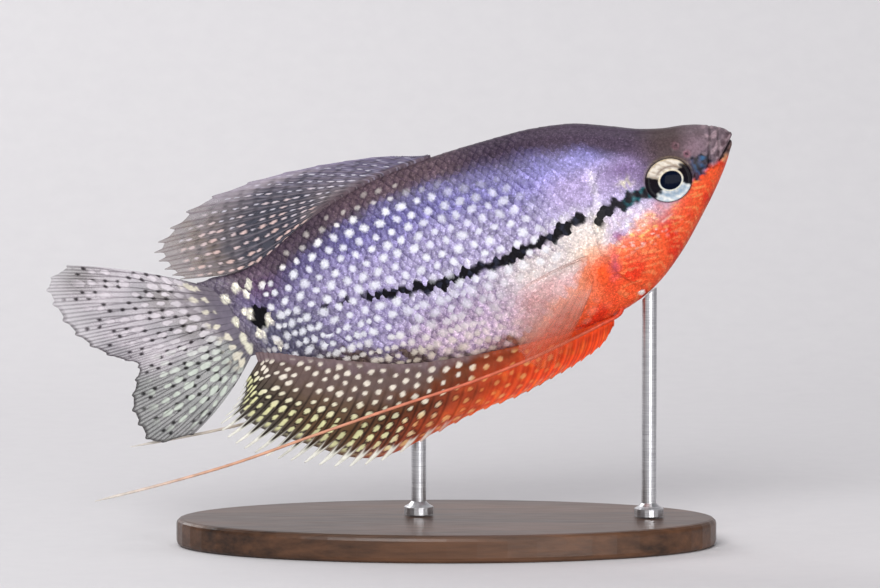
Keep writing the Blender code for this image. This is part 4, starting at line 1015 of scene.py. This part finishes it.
def make_thread(name, route, side, end_tone):
    """A pelvic thread: one long ray, stout and red at its root, pale and fine at its end."""
    steps, around = 220, 10
    share = np.linspace(0, 1, steps) ** 1.15
    line = along(route, share) * np.array([1, side, 1])
    radius = 0.29 + 0.32 * np.clip(1 - share / 0.16, 0, 1) ** 1.5 - 0.07 * share
    radius = radius * (1 + 0.05 * np.sin(np.arange(steps) * 1.9))
    radius[-6:] *= np.linspace(1, 0.25, 6)
    forward = unit(np.gradient(line, axis=0))
    across = unit(np.cross(forward, [0, 1, 0]))
    other = np.cross(forward, across)
    turns = np.linspace(0, 2 * math.pi, around, endpoint=False)[:, None]
    circle = across[:, None] * np.cos(turns) + other[:, None] * np.sin(turns)
    points = line[:, None] + circle * radius[:, None, None]
    thread = mesh_object(name, points.reshape(-1, 3), grid_faces(steps, around, wrap=True)[:, ::-1])
    tone = painted(rgb(222, 66, 38), ((226, 112, 84), ease(0.05, 0.35, share)),
                   (end_tone, ease(0.45, 0.8, share)), ((230, 222, 212), ease(0.8, 1.0, share)))
    tone = tone * (0.92 + 0.08 * np.sin(np.arange(steps) * 0.95))[:, None]
    set_colour(thread, np.repeat(tone, around, axis=0))
    return thread


# Eyes

def make_eye(side, name):
    """One eye: a shallow dome with a sunk iris and a bulging lens, painted ring by ring."""
    around, rings = 112, 46
    turns = np.linspace(0, 2 * math.pi, around, endpoint=False)
    r, turn = np.meshgrid(np.linspace(0, 1, rings), turns, indexing="ij")
    u, v = r * (EYE_SEEN[0] + 0.12) * np.cos(turn), r * (EYE_SEEN[1] + 0.12) * np.sin(turn)
    pupil = oval(u, v, PUPIL_CENTRE, PUPIL_SEEN)
    dome = 0.86 * np.sqrt(np.clip(1 - (r * 0.96) ** 2, 0, 1)) - 0.25
    lens = 0.06 * np.sqrt(np.clip(1 - (pupil * 0.98) ** 2, 0, 1))
    height = dome - 0.14 * ease(1.0, 1.5, pupil) * ease(0.93, 0.8, r) + np.where(pupil < 1, lens, 0)
    height = np.where(r > 0.985, -1.0, height)
    sine, cosine = math.sin(EYE_TURN), math.cos(EYE_TURN)
    x = EYE_CENTRE[0] + u * cosine + height * sine
    y = flank_y(*EYE_CENTRE) - u * sine + height * cosine
    points = np.stack([x, side * y, EYE_CENTRE[1] + v], -1).reshape(-1, 3)
    eye = mesh_object(name, points, grid_faces(rings, around, wrap=True)[:, ::-side])
    set_colour(eye, eye_colour(u, v, r, pupil))
    return eye


def eye_colour(u, v, r, pupil):
    tilt = np.arctan2(v - PUPIL_CENTRE[1], u - PUPIL_CENTRE[0])
    up = np.sin(tilt)
    grain = ripple(u, v, 0.55, 91)
    upper = painted(rgb(232, 222, 208), ((176, 156, 134), ease(-0.2, 0.8, grain) * 0.6),
                    ((112, 88, 76), 0.75 * bump(pupil, 1.45, 0.15) * ease(0.2, 0.9, up)))
    lower = painted(rgb(196, 208, 218), ((232, 234, 232), ease(-0.3, 0.7, grain)),
                    ((106, 140, 170), 0.6 * bump(pupil, 1.55, 0.22) * ease(-0.3, -0.9, up)))
    wedge = np.abs(up - 0.06 * np.cos(tilt)) + 0.06 * grain
    reach = np.where(np.cos(tilt) < 0, 0.52, 0.60)
    return painted(
        lower,
        (upper, ease(-0.25, 0.35, up)),
        ((10, 4, 16), 0.99 * ease(reach + 0.10, reach - 0.14, wedge) * ease(1.12, 1.22, pupil)),
        ((238, 226, 188), 0.8 * bump(pupil, 1.10, 0.045)),
        ((34, 26, 34), 0.9 * ease(0.945, 0.975, r)),
        ((186, 156, 96), 0.6 * bump(r, 0.94, 0.02) * ease(0.3, 0.9, up)),
        ((6, 14, 34), ease(1.04, 0.98, pupil)))


# Materials

# Each paint's colour blobs in metres and their strength, its roughness blobs in metres and their two values,
# its relief (blobs, detail, strength, depth), and its coat (weight, roughness, index of refraction)
PAINTS = {
    "skin": (0.0004, 0.26, (0.0012, 0.30, 0.50), (0.00035, 4.0, 0.30, 0.00006), (0.07, 0.16, 1.16)),
    "fin": (0.0009, 0.12, (0.001, 0.26, 0.48), (0.00035, 3.0, 0.25, 0.00005), (0.06, 0.16, 1.16)),
    "thread": (0.0008, 0.12, (0.0008, 0.29, 0.45), (0.0004, 3.0, 0.2, 0.00005), (0.12, 0.16, 1.16)),
    "eye": (0.0004, 0.10, (0.0005, 0.16, 0.30), None, (0.03, 0.03, 1.05)),
}


def new_material(name):
    material = bpy.data.materials.new(name)
    material.use_nodes = True
    tree = material.node_tree
    return material, tree, tree.nodes["Principled BSDF"]


def fill(tree, made, inputs):
    """Links or sets a node's inputs, by name or by number."""
    for key, value in inputs.items():
        if isinstance(value, bpy.types.NodeSocket):
            tree.links.new(value, made.inputs[key])
        else:
            made.inputs[key].default_value = value


def node(tree, kind, inputs, **settings):
    made = tree.nodes.new(kind)
    for key, value in settings.items():
        setattr(made, key, value)
    fill(tree, made, inputs)
    return made


def maths(tree, operation, a, b=0.0):
    return node(tree, "ShaderNodeMath", {0: a, 1: b}, operation=operation).outputs[0]


def blend(tree, kind, share, a, b):
    return node(tree, "ShaderNodeMix", {0: share, 6: a, 7: b}, data_type="RGBA", blend_type=kind).outputs[2]


def ranged(tree, value, to_min, to_max, from_min=0.0, from_max=1.0, kind="LINEAR"):
    limits = {"Value": value, "From Min": from_min, "From Max": from_max, "To Min": to_min, "To Max": to_max}
    return node(tree, "ShaderNodeMapRange", limits, interpolation_type=kind).outputs[0]


def stepped(tree, value, low, high):
    return ranged(tree, value, 0.0, 1.0, low, high, "SMOOTHSTEP")


def coloured(tree, value, *stops):
    """Two colours read along (position, colour) stops."""
    made = node(tree, "ShaderNodeValToRGB", {"Fac": value})
    for element, (position, colour) in zip(made.color_ramp.elements, stops):
        element.position, element.color = position, (*colour, 1)
    return made.outputs[0]


def object_place(tree):
    found = tree.nodes.get("place") or tree.nodes.new("ShaderNodeTexCoord")
    found.name = "place"
    return found.outputs["Object"]


def noise_at(tree, where, **inputs):
    return node(tree, "ShaderNodeTexNoise", {"Vector": where, **inputs}).outputs["Fac"]


def noise(tree, size, detail=3.0):
    """A noise whose blobs are about `size` metres, in the object's own space."""
    return noise_at(tree, object_place(tree), Scale=1 / size, Detail=detail, Roughness=0.55)


def stretched(tree, scale):
    return node(tree, "ShaderNodeMapping", {"Vector": object_place(tree), "Scale": scale}).outputs[0]


def relief(tree, height, amount, depth):
    return node(tree, "ShaderNodeBump", {"Height": height, "Strength": amount, "Distance": depth}).outputs[0]


def attribute(tree, name):
    return node(tree, "ShaderNodeAttribute", {}, attribute_name=name).outputs


def parts_of(tree, name):
    return node(tree, "ShaderNodeSeparateXYZ", {"Vector": attribute(tree, name)["Vector"]}).outputs


def scaled(tree, colour, factor):
    return node(tree, "ShaderNodeVectorMath", {0: colour, "Scale": factor}, operation="SCALE").outputs[0]


def varied(tree, colour, size, amount):
    """A colour made lighter and darker in blobs of `size` metres."""
    return scaled(tree, colour, ranged(tree, noise(tree, size), 1 - amount, 1 + amount, 0.3, 0.7))


def coat(weight, roughness, index):
    return {"Coat Weight": weight, "Coat Roughness": roughness, "IOR": index}


def paint_material(name, kind):
    """For pieces with a colour at each point. A fin's has an alpha too."""
    blobs, strength, (rough_blobs, low, high), carved, coated = PAINTS[kind]
    material, tree, shader = new_material(name)
    source = attribute(tree, "Col")
    fill(tree, shader, {"Base Color": varied(tree, source["Color"], blobs, strength),
                        "Roughness": ranged(tree, noise(tree, rough_blobs), low, high), **coat(*coated)})
    if kind == "fin":
        fill(tree, shader, {"Alpha": source["Alpha"]})
    if carved:
        fill(tree, shader, {"Normal": relief(tree, noise(tree, *carved[:2]), *carved[2:])})
    return material


def scale_material():
    """Scales: a pearl on some, a darker free edge, a root darkened partly by its own pigment and partly by
    painted shade under the scale in front, fine growth rings, and a faint metal glint.
    """
    material, tree, shader = new_material("gourami_scales")

    def times(a, b):
        return maths(tree, "MULTIPLY", a, b)

    def plus(a, b):
        return maths(tree, "ADD", a, b)

    a, b, tone = parts_of(tree, "scale_place")
    source = attribute(tree, "Col")
    speck = times(stepped(tree, noise(tree, 0.00028, 2.0), 0.53, 0.66), 0.60)
    shade = plus(plus(times(tone, 0.10), 1.02), speck)
    reach = plus(a, times(times(b, b), 0.20))
    patchy = ranged(tree, noise(tree, 0.0011, 1.0), 0.6, 1.0, 0.3, 0.65)
    # The root darkening is partly the scale's own darker pigment and partly painted shade cast by the free
    # edge of the scale in front.
    edge, root = times(stepped(tree, reach, 0.68, 1.04), patchy), times(stepped(tree, a, 0.68, 0.44), 0.85)
    under = scaled(tree, varied(tree, source["Color"], 0.00045, 0.28), shade)
    under = blend(tree, "MULTIPLY", edge, under, (0.36, 0.32, 0.46, 1))
    under = blend(tree, "MULTIPLY", root, under, (0.46, 0.42, 0.54, 1))
    torn = times(noise(tree, 0.00036, 3.0), 1.6)
    shown = []
    for name in ("pearl_place", "pearl_beside"):
        x, z, strength = parts_of(tree, name)
        far = maths(tree, "SQRT", plus(times(x, x), times(z, z)))
        inner = stepped(tree, plus(far, torn), 2.45, 1.3)
        outer = times(stepped(tree, far, 1.1, 1.7), stepped(tree, far, 3.0, 2.1))
        shown.append((times(inner, strength), times(outer, strength)))
    pearl, ring = (maths(tree, "MAXIMUM", *pair) for pair in zip(*shown))
    ringed = blend(tree, "MULTIPLY", times(ring, 0.7), under, (0.58, 0.55, 0.66, 1))
    pearl = times(pearl, plus(noise(tree, 0.0003, 2.0), 0.46))
    tint = blend(tree, "MIX", source["Alpha"], (*PEARL, 1), (*WARM_PEARL, 1))
    growth = times(maths(tree, "SINE", times(reach, 60.0)), 0.25)
    fill(tree, shader, {
        "Base Color": blend(tree, "MIX", pearl, ringed, tint),
        "Metallic": times(stepped(tree, noise(tree, 0.0009, 2.0), 0.45, 0.75), 0.16),
        "Roughness": ranged(tree, noise(tree, 0.0008), 0.26, 0.48),
        "Normal": relief(tree, plus(growth, noise(tree, 0.0003)), 0.22, 0.00005), **coat(0.06, 0.16, 1.16)})
    return material


def walnut_material():
    material, tree, shader = new_material("walnut_lacquered")
    where = stretched(tree, (7, 90, 90))
    drift = noise_at(tree, where, Scale=1.2, Detail=7.0, Roughness=0.62, Distortion=0.6)
    grain = blend(tree, "MIX", 0.35, drift, noise_at(tree, where, Scale=9.0, Detail=4.0, Roughness=0.6))
    pores = noise_at(tree, where, Scale=24.0, Detail=3.0)
    fill(tree, shader, {
        "Base Color": coloured(tree, grain, (0.36, (0.018, 0.008, 0.004)), (0.64, (0.120, 0.052, 0.024))),
        "Roughness": ranged(tree, pores, 0.28, 0.50),
        "Normal": relief(tree, pores, 0.18, 0.0001), **coat(0.15, 0.2, 1.38)})
    return material


def steel_material():
    material, tree, shader = new_material("steel_brushed")
    lines = noise_at(tree, stretched(tree, (300, 300, 9000)), Scale=1.0, Detail=4.0)
    fill(tree, shader, {
        "Base Color": coloured(tree, lines, (0.3, (0.42, 0.42, 0.44)), (0.7, (0.68, 0.68, 0.69))),
        "Roughness": ranged(tree, lines, 0.22, 0.42),
        "Normal": relief(tree, lines, 0.10, 0.00004), "Metallic": 1.0})
    return material


def stage_material():
    """Pale paper that only shows from its front."""
    material, tree, shader = new_material("studio_paper")
    tone = coloured(tree, noise(tree, 0.004), (0.0, (0.60, 0.585, 0.60)), (1.0, (0.64, 0.625, 0.635)))
    fill(tree, shader, {"Base Color": tone, "Roughness": 0.85})
    clear = node(tree, "ShaderNodeBsdfTransparent", {}).outputs[0]
    back = node(tree, "ShaderNodeNewGeometry", {}).outputs["Backfacing"]
    shown = node(tree, "ShaderNodeMixShader", {0: back, 1: shader.outputs[0], 2: clear}).outputs[0]
    fill(tree, tree.nodes["Material Output"], {"Surface": shown})
    return material


def cover(obj, material):
    obj.data.materials.clear()
    obj.data.materials.append(material)


def give(obj, material, slot, *nodes):
    """Finishes a piece: its material and its body, and hides the solids it stands for. slot is not used."""
    cover(obj, material)
    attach(obj, "root")
    if nodes:
        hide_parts(*nodes)


# Studio, in metres

FLOOR_HALF, FLOOR_FRONT, FLOOR_BACK, FLOOR_BEND, WALL_TOP = 2.4, -2.4, 0.20, 0.25, 1.4
TARGET = (-0.00104, 0, 0.0411)      # the point that the lamps and the camera look at
# Each lamp's name, place, size and power
LAMPS = (("key", (-0.20, -0.78, 0.50), (0.45, 0.35), 6.6), ("fill", (0.40, -0.72, 0.10), (0.4, 0.2), 2.8),
         ("top", (0.0, 0.05, 0.75), (0.5, 0.4), 1.3), ("rim", (-0.35, 0.38, 0.35), (0.3, 0.3), 1.4))
SENSOR, CAMERA_AWAY, FRAME_WIDTH, CAMERA_LIFT = 36, 1.3, 0.143, math.radians(6.0)


def make_stage():
    """A floor that curves up into a backdrop."""
    profile = [(FLOOR_FRONT, 0.0), (FLOOR_BACK, 0.0)]
    for turn in np.linspace(0, math.pi / 2, 14)[1:]:
        profile.append((FLOOR_BACK + FLOOR_BEND * math.sin(turn), FLOOR_BEND - FLOOR_BEND * math.cos(turn)))
    profile.append((FLOOR_BACK + FLOOR_BEND, WALL_TOP))
    points = [(side * FLOOR_HALF, y, z) for y, z in profile for side in (-1, 1)]
    floor = mesh_object("floor", points, grid_faces(len(profile), 2), body=False)
    floor.data.materials.append(stage_material())


def stand_at(name, data, spot, away):
    """Adds a lamp or camera at a spot, turned to look against `away`."""
    obj = bpy.data.objects.new(name, data)
    obj.location = spot
    obj.rotation_euler = away.to_track_quat("Z", "Y").to_euler()
    bpy.context.scene.collection.objects.link(obj)
    return obj


def light_and_camera():
    for name, spot, size, power in LAMPS:
        lamp = bpy.data.lights.new(name, "AREA")
        lamp.shape = "RECTANGLE"
        lamp.size, lamp.size_y = size
        lamp.energy = power
        stand_at(name, lamp, spot, Vector(spot) - Vector(TARGET))
    scene = bpy.context.scene
    scene.world = bpy.data.worlds.new("studio")
    scene.world.use_nodes = True
    fill(scene.world.node_tree, scene.world.node_tree.nodes["Background"], {0: (0.92, 0.93, 1.0, 1), 1: 0.24})
    camera = bpy.data.cameras.new("camera")
    camera.sensor_width = SENSOR
    camera.lens = SENSOR * CAMERA_AWAY / FRAME_WIDTH
    camera.clip_end = 10
    away = Vector((0, -math.cos(CAMERA_LIFT), math.sin(CAMERA_LIFT)))
    scene.camera = stand_at("camera", camera, Vector(TARGET) + away * CAMERA_AWAY, away)
    scene.view_settings.view_transform = "Standard"


def main():
    give(make_skin(), paint_material("gourami_skin", "skin"), "flank", "head", "lower_jaw", "trunk",
         "tail_stem", "gill_cover_left", "gill_cover_right")
    scales = scale_material()
    for side, hand in ((1, "left"), (-1, "right")):
        give(make_scales(side, f"scales_{hand}"), scales, "flank")
    for side, hand, route, end_tone in ((1, "left", LEFT_THREAD, (214, 196, 178)),
                                        (-1, "right", RIGHT_THREAD, (234, 178, 148))):
        give(make_eye(side, f"eye_{hand}_skin"), paint_material("gourami_eye", "eye"), "eye", f"eye_{hand}")
        give(make_pectoral(side, f"pectoral_{hand}_skin"), paint_material(f"pectoral_{hand}", "fin"), "fin",
             f"pectoral_fin_{hand}")
        thread = make_thread(f"pelvic_{hand}_skin", route, side, end_tone)
        give(thread, paint_material(f"pelvic_{hand}", "thread"), "thread", f"pelvic_fin_{hand}")
    for name, make in (("dorsal", make_dorsal), ("anal", make_anal), ("caudal", make_caudal)):
        give(make(), paint_material(name, "fin"), "fin", f"{name}_fin")
    cover(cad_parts["stand_base"], walnut_material())
    steel = steel_material()
    for name in ("stand_rod_front", "stand_rod_rear"):
        cover(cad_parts[name], steel)
    make_stage()
    light_and_camera()


main()
